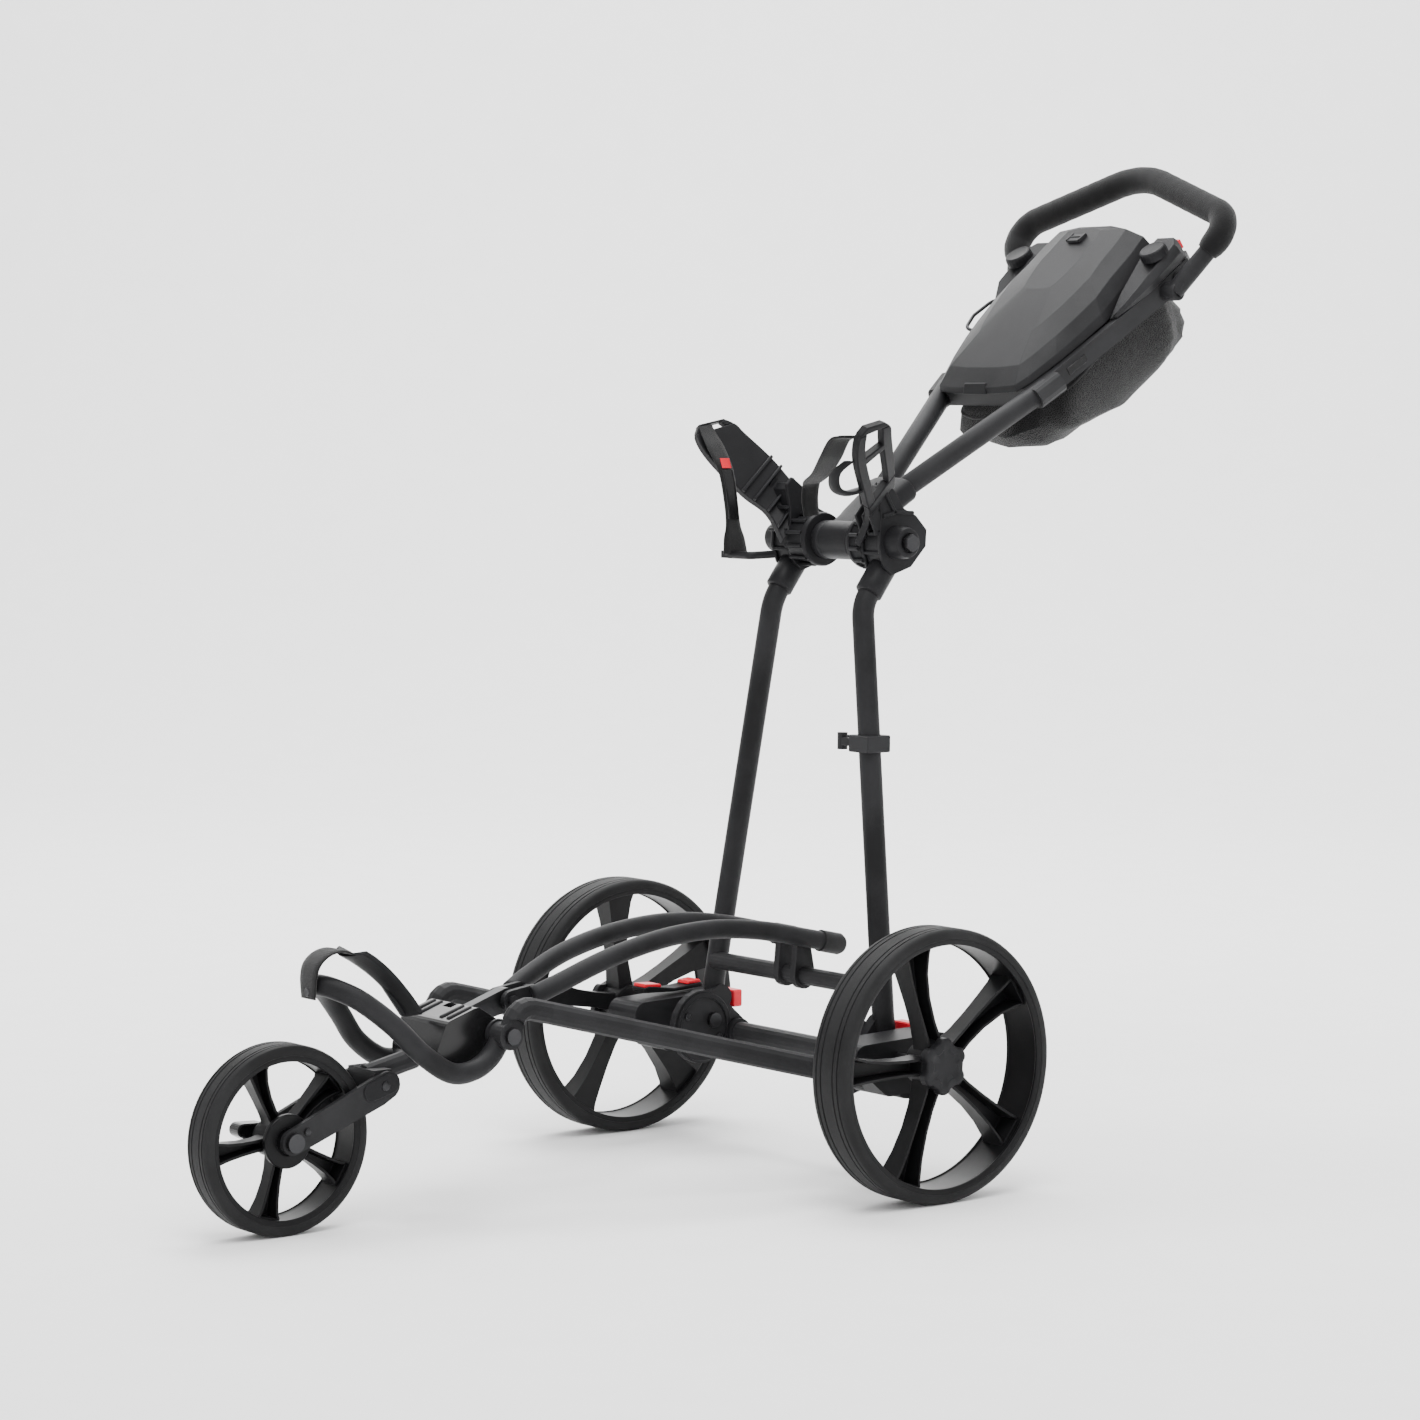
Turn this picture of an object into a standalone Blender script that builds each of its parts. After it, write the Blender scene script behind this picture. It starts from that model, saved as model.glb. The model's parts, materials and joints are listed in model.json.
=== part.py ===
"""Three-wheeled golf push trolley with a folding frame, modelled from separate parts.

Units are metres, +Z is up, the trolley's front points along -Y and its left side along +X.
Sizes along Y are counted from the rear wheel axle; the root empty moves the whole trolley so
that the origin is under the middle of its bounding box. Build points are written in that
axle frame, and every mesh is stored relative to the empty on its own joint axis.
"""
import math

import bmesh
import bpy
from mathutils import Matrix, Vector

# Overall placement
REAR_AXLE_Y = 0.0765           # rear axle, measured from the middle of the bounding box
GAP = 0.0003                   # gap between neighbouring parts

# Wheels
REAR_RADIUS = 0.150
REAR_WIDTH = 0.053
REAR_OUTER_X = 0.304           # outer face of each rear wheel
FRONT_RADIUS = 0.100
FRONT_WIDTH = 0.039
FRONT_AXLE_Y = -0.658
TYRE_THICKNESS = 0.011
RIM_THICKNESS = 0.0052
SPOKES = 5
AXLE_RADIUS = 0.006
WHEEL_SIDES = 36

# Frame tubes
TUBE = 0.0125                  # radius of the main tubes
ROD = 0.0108                   # radius of the two curved rods
CROSSBAR = 0.0102
TUBE_SIDES = 14
BOLT = 0.005                   # radius of the pivot bolts

# Joint axes, as (y, z); all of them run along X
FOLD_AXIS = (0.020, 0.147)     # hinge of the uprights
ARM_AXIS = (-0.416, 0.194)     # front ends of the base tubes
ROD_AXIS = (0.0365, 0.214)     # crossbar, which the curved rods turn on
HUB_AXIS = (0.101, 0.708)      # top hub, where the handle folds
ROD_PIN = (0.034, 0.2560)      # pin from the bracket on the crossbar into the rods
LEVER_REACH = 0.052            # from the arm axis to the rods' front pin
LEVER_ANGLE = math.radians(31)
AXLE_TUBE = (0.055, 0.130)     # centre of the tube between the axle brackets

# Side positions
PLATE_X = (0.1275, 0.1365)     # round hinge plates
UPRIGHT_FOOT_X = 0.1505
BRACKET_X = (0.1700, 0.2220)   # axle brackets
UPRIGHT_TOP_X = 0.079
ARM_EYE_X = (0.0660, 0.0770)   # front eyes of the base tubes
CRADLE_X = (0.0620, 0.0960)
FLANGE_X = {"left": 0.0425, "right": 0.0280}   # inner faces of the hub flanges
CLIP_Z = 0.484

# Handle and console, in their own frame: u runs up the handle from the hub, v is square to it
HANDLE_TILT = math.radians(36.3)
TRAY_BOTTOM = -0.012
TRAY_TOP = 0.0115
LID_HINGE = (0.272, 0.0105)
LID_U = (0.2655, 0.5480)       # front and rear edge of the lid
POUCH_WALL = 0.005
GRIP_AXIS = (0.488, -0.0005)
GRIP_RISE = math.radians(24)   # plane of the grip above the handle's own plane
GRIP_PIVOT_X = 0.137
BAR = 0.0108                   # radius of the grip bar
FOAM = 0.0160                  # radius of the foam sleeve

COLOURS = {
    "frame": ((0.018, 0.018, 0.019), 0.55, 0.4),
    "plastic": ((0.022, 0.022, 0.024), 0.62, 0.0),
    "gloss": ((0.012, 0.012, 0.013), 0.25, 0.0),
    "console": ((0.026, 0.026, 0.028), 0.70, 0.0),
    "tyre": ((0.020, 0.020, 0.021), 0.80, 0.0),
    "rim": ((0.014, 0.014, 0.015), 0.45, 0.0),
    "foam": ((0.015, 0.015, 0.016), 0.95, 0.0),
    "webbing": ((0.012, 0.012, 0.012), 0.90, 0.0),
    "mesh_bag": ((0.010, 0.010, 0.011), 0.95, 0.0),
    "steel": ((0.050, 0.050, 0.052), 0.35, 0.9),
    "red": ((0.700, 0.012, 0.030), 0.40, 0.0),
}

PIVOTS = {}
SIDES = (("left", 1), ("right", -1))


# ---------------------------------------------------------------- scene and parts
def clear_scene():
    """Remove every object that the file already holds."""
    for old in list(bpy.data.objects):
        bpy.data.objects.remove(old, do_unlink=True)


def pivot(name, position, parent=None):
    """Make an empty at a joint axis and remember where it stands."""
    empty = bpy.data.objects.new(name, None)
    empty.empty_display_size = 0.03
    bpy.context.scene.collection.objects.link(empty)
    PIVOTS[name] = Vector(position)
    if parent is None:
        empty.location = PIVOTS[name] + Vector((0, REAR_AXLE_Y, 0))
    else:
        empty.parent = bpy.data.objects[parent]
        empty.location = PIVOTS[name] - PIVOTS[parent]
    return empty


def material(kind):
    """Return the named Principled material, making it the first time."""
    found = bpy.data.materials.get(kind)
    if found:
        return found
    colour, roughness, metallic = COLOURS[kind]
    made = bpy.data.materials.new(kind)
    made.use_nodes = True
    shader = made.node_tree.nodes["Principled BSDF"]
    shader.inputs["Base Color"].default_value = (*colour, 1)
    shader.inputs["Roughness"].default_value = roughness
    shader.inputs["Metallic"].default_value = metallic
    made.diffuse_color = (*colour, 1)
    return made


def part(name, mesh, kind, body, cuts=(), adds=(), bevel=0.0):
    """Turn a bmesh into a named object on a body, with unions, cuts and a bevel."""
    made = as_object(name, mesh)
    made.data.materials.append(material(kind))
    for number, tool in enumerate(adds):
        combine(made, tool, "UNION", f"{name}_add_{number}")
    for number, tool in enumerate(cuts):
        combine(made, tool, "DIFFERENCE", f"{name}_cut_{number}")
    made.data.transform(Matrix.Translation(-PIVOTS[body]))
    made.parent = bpy.data.objects[body]
    if bevel:
        edge = made.modifiers.new("soft edges", "BEVEL")
        edge.width = bevel
        edge.segments = 1
        edge.limit_method = "ANGLE"
        edge.angle_limit = math.radians(40)
    made.data.shade_smooth()
    made.data.set_sharp_from_angle(angle=math.radians(35))
    return made


def as_object(name, mesh):
    """Store a bmesh as an object, with its faces pointing out."""
    bmesh.ops.recalc_face_normals(mesh, faces=mesh.faces)
    data = bpy.data.meshes.new(name)
    mesh.to_mesh(data)
    mesh.free()
    made = bpy.data.objects.new(name, data)
    bpy.context.scene.collection.objects.link(made)
    return made


def combine(target, tool_mesh, operation, name):
    """Apply one Boolean to the target's mesh and drop the tool."""
    tool = as_object(name, tool_mesh)
    step = target.modifiers.new(operation.lower(), "BOOLEAN")
    step.operation = operation
    step.solver = "EXACT"
    step.object = tool
    bpy.context.view_layer.update()
    graph = bpy.context.evaluated_depsgraph_get()
    result = bpy.data.meshes.new_from_object(target.evaluated_get(graph))
    target.modifiers.clear()
    target.data = result
    bpy.data.objects.remove(tool, do_unlink=True)


# ---------------------------------------------------------------- point helpers
def side_point(x, yz):
    """A point from a side position and a (y, z) pair."""
    return Vector((x, yz[0], yz[1]))


def handle_point(x, u, v):
    """A point given in the handle's own frame."""
    along = Vector((0, math.cos(HANDLE_TILT), math.sin(HANDLE_TILT)))
    up = Vector((0, -math.sin(HANDLE_TILT), math.cos(HANDLE_TILT)))
    return side_point(x, HUB_AXIS) + along * u + up * v


def fillet(points, radius, steps=5):
    """Round every inner corner of a polyline with an arc."""
    points = [Vector(p) for p in points]
    out = [points[0]]
    for before, corner, after in zip(points, points[1:], points[2:]):
        inward = (before - corner).normalized()
        outward = (after - corner).normalized()
        half = inward.angle(outward) / 2
        reach = radius / math.tan(half)
        centre = corner + (inward + outward).normalized() * (radius / math.sin(half))
        start = corner + inward * reach - centre
        axis = start.cross(corner + outward * reach - centre).normalized()
        turn = math.pi - 2 * half
        for step in range(steps + 1):
            out.append(centre + Matrix.Rotation(turn * step / steps, 3, axis) @ start)
    out.append(points[-1])
    return out


def smooth(points, steps=4):
    """A Catmull-Rom curve through the points."""
    points = [Vector(p) for p in points]
    ends = [2 * points[0] - points[1]] + points + [2 * points[-1] - points[-2]]
    out = []
    for a, b, c, d in zip(ends, ends[1:], ends[2:], ends[3:]):
        for step in range(steps):
            t = step / steps
            blend = (2 * b + (c - a) * t + (2 * a - 5 * b + 4 * c - d) * t ** 2
                     + (3 * b - a - 3 * c + d) * t ** 3)
            out.append(blend / 2)
    out.append(points[-1])
    return out


def mirrored(points):
    """The same points on the other side of the trolley."""
    return [Vector((-p[0], p[1], p[2])) for p in points]


def both(points, sign):
    """The points as given for the left side, or mirrored for the right."""
    return [Vector((p[0] * sign, p[1], p[2])) for p in points]


# ---------------------------------------------------------------- solid helpers
def skin(rings, closed=False):
    """Join rings of equal size into a closed solid."""
    mesh = bmesh.new()
    made = [[mesh.verts.new(p) for p in ring] for ring in rings]
    count = len(made[0])
    pairs = list(zip(made, made[1:]))
    if closed:
        pairs.append((made[-1], made[0]))
    for low, high in pairs:
        for i in range(count):
            j = (i + 1) % count
            mesh.faces.new((low[i], low[j], high[j], high[i]))
    if not closed:
        mesh.faces.new(made[0])
        mesh.faces.new(made[-1])
    return mesh


def frames(points):
    """Two square directions at each point, carried along without twist."""
    points = [Vector(p) for p in points]
    tangents = []
    for i in range(len(points)):
        ahead = points[min(i + 1, len(points) - 1)]
        behind = points[max(i - 1, 0)]
        tangents.append((ahead - behind).normalized())
    helper = Vector((1, 0, 0)) if abs(tangents[0].x) < 0.9 else Vector((0, 0, 1))
    first = tangents[0].cross(helper).normalized()
    out = []
    for i, tangent in enumerate(tangents):
        if i:
            first = tangents[i - 1].rotation_difference(tangent) @ first
        first = (first - tangent * first.dot(tangent)).normalized()
        out.append((points[i], first, tangent.cross(first)))
    return out


def sweep(points, radius, sides=TUBE_SIDES, flat=1.0):
    """A round bar along points; flat squeezes its second direction."""
    rings = []
    for centre, first, second in frames(points):
        ring = []
        for i in range(sides):
            turn = 2 * math.pi * (i + 0.5) / sides
            ring.append(centre + first * math.cos(turn) * radius + second * math.sin(turn) * radius * flat)
        rings.append(ring)
    return skin(rings)


def bore(points, radius, sides=TUBE_SIDES):
    """The cutter for a bar along points: a gap wider all round and at both ends."""
    points = [Vector(p) for p in points]
    first = (points[0] - points[1]).normalized() * GAP
    last = (points[-1] - points[-2]).normalized() * GAP
    return sweep([points[0] + first] + points[1:-1] + [points[-1] + last], radius + GAP, sides)


def pipe(points, outer, inner, sides=12):
    """A hollow tube along points."""
    shells = []
    for radius in (outer, inner):
        rings = []
        for centre, first, second in frames(points):
            turns = [2 * math.pi * (i + 0.5) / sides for i in range(sides)]
            rings.append([centre + (first * math.cos(t) + second * math.sin(t)) * radius for t in turns])
        shells.append(rings)
    mesh = bmesh.new()
    skins = [[[mesh.verts.new(p) for p in ring] for ring in rings] for rings in shells]
    for rings in skins:
        for low, high in zip(rings, rings[1:]):
            for i in range(sides):
                j = (i + 1) % sides
                mesh.faces.new((low[i], low[j], high[j], high[i]))
    for end in (0, -1):
        for i in range(sides):
            j = (i + 1) % sides
            mesh.faces.new((skins[0][end][i], skins[0][end][j], skins[1][end][j], skins[1][end][i]))
    return mesh


def ribbon(stations):
    """A strap through (centre, half width vector, half thickness vector) stations."""
    rings = []
    for centre, wide, thick in stations:
        centre, wide, thick = Vector(centre), Vector(wide), Vector(thick)
        rings.append([centre - wide - thick, centre + wide - thick,
                      centre + wide + thick, centre - wide + thick])
    return skin(rings)


def rod_x(x_low, x_high, yz, radius, sides=16):
    """A cylinder along X."""
    rings = []
    for x in (x_low, x_high):
        rings.append([side_point(x, (yz[0] + radius * math.cos(2 * math.pi * (i + 0.5) / sides),
                                     yz[1] + radius * math.sin(2 * math.pi * (i + 0.5) / sides)))
                      for i in range(sides)])
    return skin(rings)


def plate_x(outline, x_low, x_high):
    """A plate with a (y, z) outline and faces square to X."""
    return skin([[side_point(x, p) for p in outline] for x in (x_low, x_high)])


def box(low, high):
    """A box between two corners."""
    (a, b, c), (d, e, f) = low, high
    return skin([[Vector(p) for p in ((a, b, z), (d, b, z), (d, e, z), (a, e, z))] for z in (c, f)])


def handle_box(low, high):
    """A box in the handle's own frame."""
    (a, b, c), (d, e, f) = low, high
    corners = ((a, b), (d, b), (d, e), (a, e))
    return skin([[handle_point(x, u, v) for x, u in corners] for v in (c, f)])


def slab(outline, v_low, v_high):
    """A slab with an (x, u) outline in the handle's own frame."""
    return skin([[handle_point(x, u, v) for x, u in outline] for v in (v_low, v_high)])


def hull_outline(circles, steps=7):
    """The outline around several (y, z, radius) circles."""
    dots = []
    for y, z, radius in circles:
        count = steps * 3
        for i in range(count):
            turn = 2 * math.pi * i / count
            dots.append((y + radius * math.cos(turn), z + radius * math.sin(turn)))
    dots = sorted(set(dots))

    def chain(items):
        line = []
        for dot in items:
            while len(line) > 1 and cross(line[-2], line[-1], dot) <= 1e-9:
                line.pop()
            line.append(dot)
        return line[:-1]
    return chain(dots) + chain(dots[::-1])


def cross(a, b, c):
    """Twice the signed area of a triangle."""
    return (b[0] - a[0]) * (c[1] - a[1]) - (b[1] - a[1]) * (c[0] - a[0])


def turned_x(profile, yz, sides=WHEEL_SIDES):
    """Turn a closed (x, radius) profile about an axis along X, with a flat at the bottom."""
    rings = []
    for i in range(sides):
        turn = 2 * math.pi * (i + 0.5) / sides
        rings.append([side_point(x, (yz[0] + r * math.sin(turn), yz[1] - r * math.cos(turn)))
                      for x, r in profile])
    return skin(rings, closed=True)


# ---------------------------------------------------------------- wheels
def wheel(name, body, centre, radius, width, hub, turn):
    """A tyre and a five-spoke rim about the axle, around centre (x, y, z)."""
    x, axle = centre[0], (centre[1], centre[2])
    half = width / 2
    flat = math.cos(math.pi / WHEEL_SIDES)
    outer = radius / flat
    bead = radius - TYRE_THICKNESS
    tread = ((-half, bead), (-half, outer - 0.0045), (-half * 0.93, outer - 0.0012), (-half * 0.78, outer),
             (half * 0.78, outer), (half * 0.93, outer - 0.0012), (half, outer - 0.0045), (half, bead))
    part(f"{name}_tyre", turned_x([(x + dx, r) for dx, r in tread], axle), "tyre", body)

    inside = bead - RIM_THICKNESS
    barrel = ((-half * 0.96, inside + 0.001), (-half * 0.96, bead - GAP), (half * 0.96, bead - GAP),
              (half * 0.96, inside + 0.001), (half * 0.5, inside), (-half * 0.5, inside))
    ring = turned_x([(x + dx, r) for dx, r in barrel], axle)
    hub_round = rod_x(x - hub[1], x + hub[1], axle, hub[0], 20)
    adds = [hub_round]
    for spoke in range(SPOKES):
        angle = math.radians(turn) + 2 * math.pi * spoke / SPOKES
        out = Vector((0, math.cos(angle), math.sin(angle)))
        across = Vector((0, -math.sin(angle), math.cos(angle)))
        rings = []
        for reach, wide, deep in ((hub[0] * 0.5, 0.085, 0.30), (radius * 0.35, 0.075, 0.26),
                                  (radius * 0.62, 0.100, 0.24), (inside + 0.0015, 0.150, 0.30)):
            middle = side_point(x, axle) + out * reach
            w, d = across * radius * wide, Vector((width * deep, 0, 0))
            rings.append([middle - w - d, middle + w - d, middle + w + d, middle - w + d])
        adds.append(skin(rings))
    bore = rod_x(x - half * 2, x + half * 2, axle, AXLE_RADIUS + 0.0004, 16)
    part(f"{name}_rim", ring, "rim", body, adds=adds, cuts=[bore])


def wheels():
    """All three wheels, each on its own axle empty."""
    middle = REAR_OUTER_X - REAR_WIDTH / 2
    for label, sign in SIDES:
        body = f"{label}_wheel_axis"
        centre = (middle * sign, 0, REAR_RADIUS)
        pivot(body, centre, "trolley")
        wheel(f"{label}_wheel", body, centre, REAR_RADIUS, REAR_WIDTH, (0.021, 0.021),
              33 if sign > 0 else 23)
    centre = (0, FRONT_AXLE_Y, FRONT_RADIUS)
    pivot("front_wheel_axis", centre, "front_arm_pivot")
    wheel("front_wheel", "front_wheel_axis", centre, FRONT_RADIUS, FRONT_WIDTH, (0.018, 0.0205), 40)


# ---------------------------------------------------------------- base frame
def base_tube_path():
    """Centre line of the left base tube, from the axle bracket to its front eye."""
    return fillet([(0.190, -0.004, 0.121), (0.0735, -0.366, 0.2146), (0.0715, -0.403, 0.2240),
                   side_point(0.0715, ARM_AXIS)], 0.018, 4)


def bracket_circles(grow=0.0):
    """Circles whose hull is an axle bracket's side outline."""
    return [(y, z, radius + grow) for y, z, radius in
            ((0.0, REAR_RADIUS, 0.017), (*AXLE_TUBE, 0.018), (-0.046, 0.153, 0.015),
             (0.064, 0.158, 0.014), (-0.010, 0.122, 0.014))]


def base_frame():
    """Base tubes, axle tube, brackets, plates and pins: the part that stays on the floor."""
    bolt_end = BRACKET_X[0] + 0.0060
    for label, sign in SIDES:
        path = both(base_tube_path(), sign)
        inner, outer = sorted((ARM_EYE_X[0] * sign, ARM_EYE_X[1] * sign))
        part(f"base_tube_{label}", sweep(path, TUBE), "frame", "trolley",
             adds=[rod_x(inner, outer, ARM_AXIS, 0.0150, 20)],
             cuts=[rod_x(inner - 0.012, inner, ARM_AXIS, 0.0190), rod_x(outer, outer + 0.012, ARM_AXIS, 0.0190),
                   rod_x(-0.1, 0.1, ARM_AXIS, BOLT + 0.0004)])
        outline = hull_outline(bracket_circles())
        low, high = sorted((BRACKET_X[0] * sign, BRACKET_X[1] * sign))
        pin = rod_x(*sorted((0.2200 * sign, 0.2960 * sign)), (0, REAR_RADIUS), AXLE_RADIUS)
        part(f"axle_bracket_{label}", plate_x(outline, low, high), "plastic", "trolley", adds=[pin],
             cuts=[bore(path, TUBE), rod_x(0, (bolt_end + GAP) * sign, FOLD_AXIS, BOLT + GAP)])
        plate = hull_outline([(0.006, 0.140, 0.043), (*AXLE_TUBE, 0.018)])
        low, high = sorted((PLATE_X[0] * sign, PLATE_X[1] * sign))
        part(f"hinge_plate_{label}", plate_x(plate, low, high), "plastic", "trolley",
             cuts=[rod_x(-0.2, 0.2, FOLD_AXIS, BOLT + GAP), rod_x(-0.2, 0.2, AXLE_TUBE, TUBE + GAP)])
    reach = BRACKET_X[0] - GAP
    part("axle_tube", rod_x(-reach, reach, AXLE_TUBE, TUBE), "frame", "trolley")

    for label, sign in SIDES:
        low, high = sorted((0.1250 * sign, bolt_end * sign))
        head = sorted((0.1215 * sign, (PLATE_X[0] - GAP) * sign))
        part(f"fold_bolt_{label}", rod_x(low, high, FOLD_AXIS, BOLT), "steel", "trolley",
             adds=[rod_x(*head, FOLD_AXIS, 0.0088)])
    face = ARM_EYE_X[1] + GAP
    heads = [rod_x(face, face + 0.0052, ARM_AXIS, 0.0088), rod_x(-face - 0.0052, -face, ARM_AXIS, 0.0088)]
    part("arm_bolt", rod_x(-face - 0.001, face + 0.001, ARM_AXIS, BOLT), "steel", "trolley", adds=heads)


def base_controls():
    """Red fold releases behind the uprights' feet, and the brake pedal on the right bracket."""
    for label, sign in SIDES:
        body = f"fold_button_{label}_axis"
        pivot(body, (0.155 * sign, 0.069, 0.166), "trolley")
        low, high = sorted((0.1420 * sign, (BRACKET_X[0] - GAP) * sign))
        part(f"fold_button_{label}", box((low, 0.0625, 0.1560), (high, 0.0765, 0.1760)),
             "red", body, bevel=0.0015)
    pivot("brake_pedal_axis", (-0.196, 0.008, 0.176), "trolley")
    rocker = ((-0.036, 0.1740), (-0.038, 0.1860), (-0.030, 0.1880), (0.008, 0.1815),
              (0.046, 0.1840), (0.052, 0.1800), (0.050, 0.1700), (0.008, 0.1720))
    mask = hull_outline(bracket_circles(0.0030))
    part("brake_pedal", plate_x(rocker, -0.2100, -0.1820), "red", "brake_pedal_axis",
         cuts=[plate_x(mask, -0.25, -0.15)])


# ---------------------------------------------------------------- uprights
def upright_path():
    """Centre line of the left upright, from its foot to the top socket."""
    return fillet([(UPRIGHT_FOOT_X, 0.0445, 0.1500), (0.1505, 0.0400, 0.1880),
                   (UPRIGHT_TOP_X, 0.0665, 0.6380), (UPRIGHT_TOP_X, 0.0995, 0.6820)], 0.05, 5)


def cradle_outline():
    """Side outline of the top bracket around the hub."""
    return ((0.096, 0.671), (0.124, 0.680), (0.146, 0.703), (0.147, 0.722), (0.131, 0.738),
            (0.113, 0.746), (0.099, 0.766), (0.080, 0.779), (0.072, 0.770), (0.078, 0.740),
            (0.076, 0.700), (0.084, 0.680))


def cradle(label, sign, face):
    """One top bracket: body, bolt boss, hub flange and the wing that holds the bag."""
    low, high = sorted((CRADLE_X[0] * sign, CRADLE_X[1] * sign))
    body = plate_x(cradle_outline(), low, high)
    inner, outer = sorted((0.0950 * sign, 0.1180 * sign))
    boss = rod_x(inner, outer, HUB_AXIS, 0.0170, 20)
    inner, outer = sorted((face * sign, 0.0640 * sign))
    flange = rod_x(inner, outer, HUB_AXIS, 0.0310, 24)
    wing_rows = (((0.064, 0.068, 0.709), (0.064, 0.102, 0.758)),
                 ((0.084, 0.064, 0.738), (0.084, 0.098, 0.772)),
                 ((0.102, 0.043, 0.759), (0.102, 0.081, 0.799)),
                 ((0.124, 0.012, 0.800), (0.124, 0.058, 0.828)),
                 ((0.139, -0.004, 0.834), (0.137, 0.043, 0.843)))
    rings = []
    for front, back in wing_rows:
        front, back = Vector(front), Vector(back)
        thick = Vector((0.0105, 0.002, -0.004))
        rings.append([front, back, back + thick, front + thick])
    wing = skin([both(ring, sign) for ring in rings])
    slot_at = Vector((0.1365 * sign, 0.019, 0.8265))
    slot = box((slot_at.x - 0.02, slot_at.y - 0.0155, slot_at.z - 0.0035),
               (slot_at.x + 0.02, slot_at.y + 0.0155, slot_at.z + 0.0035))
    socket = bore(both(upright_path(), sign), TUBE)
    part(f"bag_cradle_{label}", body, "plastic", "uprights_pivot", adds=[boss, flange, wing],
         cuts=[slot, socket, rod_x(-0.2, 0.2, HUB_AXIS, BOLT + 0.0004)])


def uprights():
    """Uprights, their feet, crossbar, top brackets, straps and the frame clip."""
    for label, sign in SIDES:
        path = both(upright_path(), sign)
        part(f"upright_{label}", sweep(path, TUBE), "frame", "uprights_pivot")
        low, high = sorted((0.1372 * sign, UPRIGHT_FOOT_X * sign))
        foot = hull_outline([(*FOLD_AXIS, 0.0145), (0.0370, 0.1530, 0.0120), (0.0405, 0.1700, 0.0155)])
        part(f"upright_foot_{label}", plate_x(foot, low, high), "plastic", "uprights_pivot",
             cuts=[bore(path, TUBE), rod_x(-0.2, 0.2, FOLD_AXIS, BOLT + 0.0003)])
        cradle(label, sign, FLANGE_X[label])
    reach = UPRIGHT_FOOT_X - 0.006
    part("crossbar", rod_x(-reach, reach, ROD_AXIS, CROSSBAR), "frame", "uprights_pivot",
         cuts=[bore(both(upright_path(), sign), TUBE) for _, sign in SIDES])
    bolts = [rod_x(-0.1190, 0.1190, HUB_AXIS, BOLT)]
    for low, high in ((0.1183, 0.1250), (-0.1250, -0.1183)):
        bolts.append(rod_x(low, high, HUB_AXIS, 0.0100, 6))
    part("hub_bolt", bolts[0], "steel", "uprights_pivot", adds=bolts[1:])
    straps()
    clip()


def straps():
    """Two webbing straps and the bar that the right one is buckled to."""
    thick = Vector((0.0013, 0, 0))
    part("bag_strap_right", ribbon([
        ((-0.1150, 0.012, 0.8080), (0, 0.0120, 0), thick),
        ((-0.1010, 0.016, 0.7850), (0, 0.0130, 0), thick),
        ((-0.1010, 0.022, 0.7500), (0, 0.0130, 0), thick),
        ((-0.1080, 0.032, 0.6960), (0, 0.0150, 0), thick * 2)]), "webbing", "uprights_pivot")
    part("strap_bar", box((-0.1250, 0.0240, 0.6845), (-0.0700, 0.0330, 0.6935)), "plastic", "uprights_pivot",
         adds=[box((-0.1250, 0.0240, 0.6845), (-0.1130, 0.0490, 0.6935)),
               box((-0.0790, 0.0240, 0.6845), (-0.0700, 0.0655, 0.6935))], bevel=0.0015)
    flat = Vector((0, 0.0004, 0.0013))
    part("bag_strap_left", ribbon([
        ((0.1180, -0.001, 0.8130), (0.004, 0.013, 0), flat),
        ((0.0960, 0.010, 0.8080), (0.004, 0.013, 0), flat),
        ((0.0500, 0.030, 0.7920), (0.002, 0.013, 0), flat),
        ((0.0090, 0.052, 0.7790), (0, 0.013, 0), flat),
        ((0.0020, 0.058, 0.7720), (0, 0.012, 0), Vector((-0.0010, 0, 0.0010))),
        ((0.0000, 0.058, 0.7350), (0, 0.010, 0), Vector((-0.0013, 0, 0)))]), "webbing", "uprights_pivot")


def clip():
    """A clamp on the left upright with a small swinging catch."""
    foot, top = Vector((0.1505, 0.0400, 0.1880)), Vector((UPRIGHT_TOP_X, 0.0665, 0.6380))
    centre = foot.lerp(top, (CLIP_Z - foot.z) / (top.z - foot.z))
    x, y = centre.x, centre.y
    collar = box((x - 0.0170, y - 0.0170, CLIP_Z - 0.0095), (x + 0.0170, y + 0.0170, CLIP_Z + 0.0095))
    arm = box((x - 0.0400, y - 0.0080, CLIP_Z - 0.0045), (x - 0.0150, y + 0.0035, CLIP_Z + 0.0045))
    barrel_x = x - 0.0465
    part("frame_clip", collar, "plastic", "uprights_pivot", adds=[arm],
         cuts=[bore(both(upright_path(), 1), TUBE)], bevel=0.0012)
    pivot("clip_catch_axis", (barrel_x, y, CLIP_Z), "uprights_pivot")
    barrel = sweep([(barrel_x, y, CLIP_Z - 0.0095), (barrel_x, y, CLIP_Z + 0.0095)], 0.0058, 12)
    tail = box((barrel_x - 0.0040, y + 0.0040, CLIP_Z - 0.0060), (barrel_x + 0.0040, y + 0.0190, CLIP_Z + 0.0060))
    part("clip_catch", barrel, "plastic", "clip_catch_axis", adds=[tail])


# ---------------------------------------------------------------- curved rods
def rod_path():
    """Centre line of the left curved rod, from the front clevis to its rear cap."""
    return smooth([(0.0225, -0.346, 0.2255), (0.0300, -0.318, 0.2375), (0.0375, -0.267, 0.2575),
                   (0.0400, -0.210, 0.2720), (0.0400, -0.155, 0.2795), (0.0400, -0.100, 0.2803),
                   (0.0400, -0.040, 0.2735), (0.0400, 0.015, 0.2620), (0.0400, 0.056, 0.2530)], 2)


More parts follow.
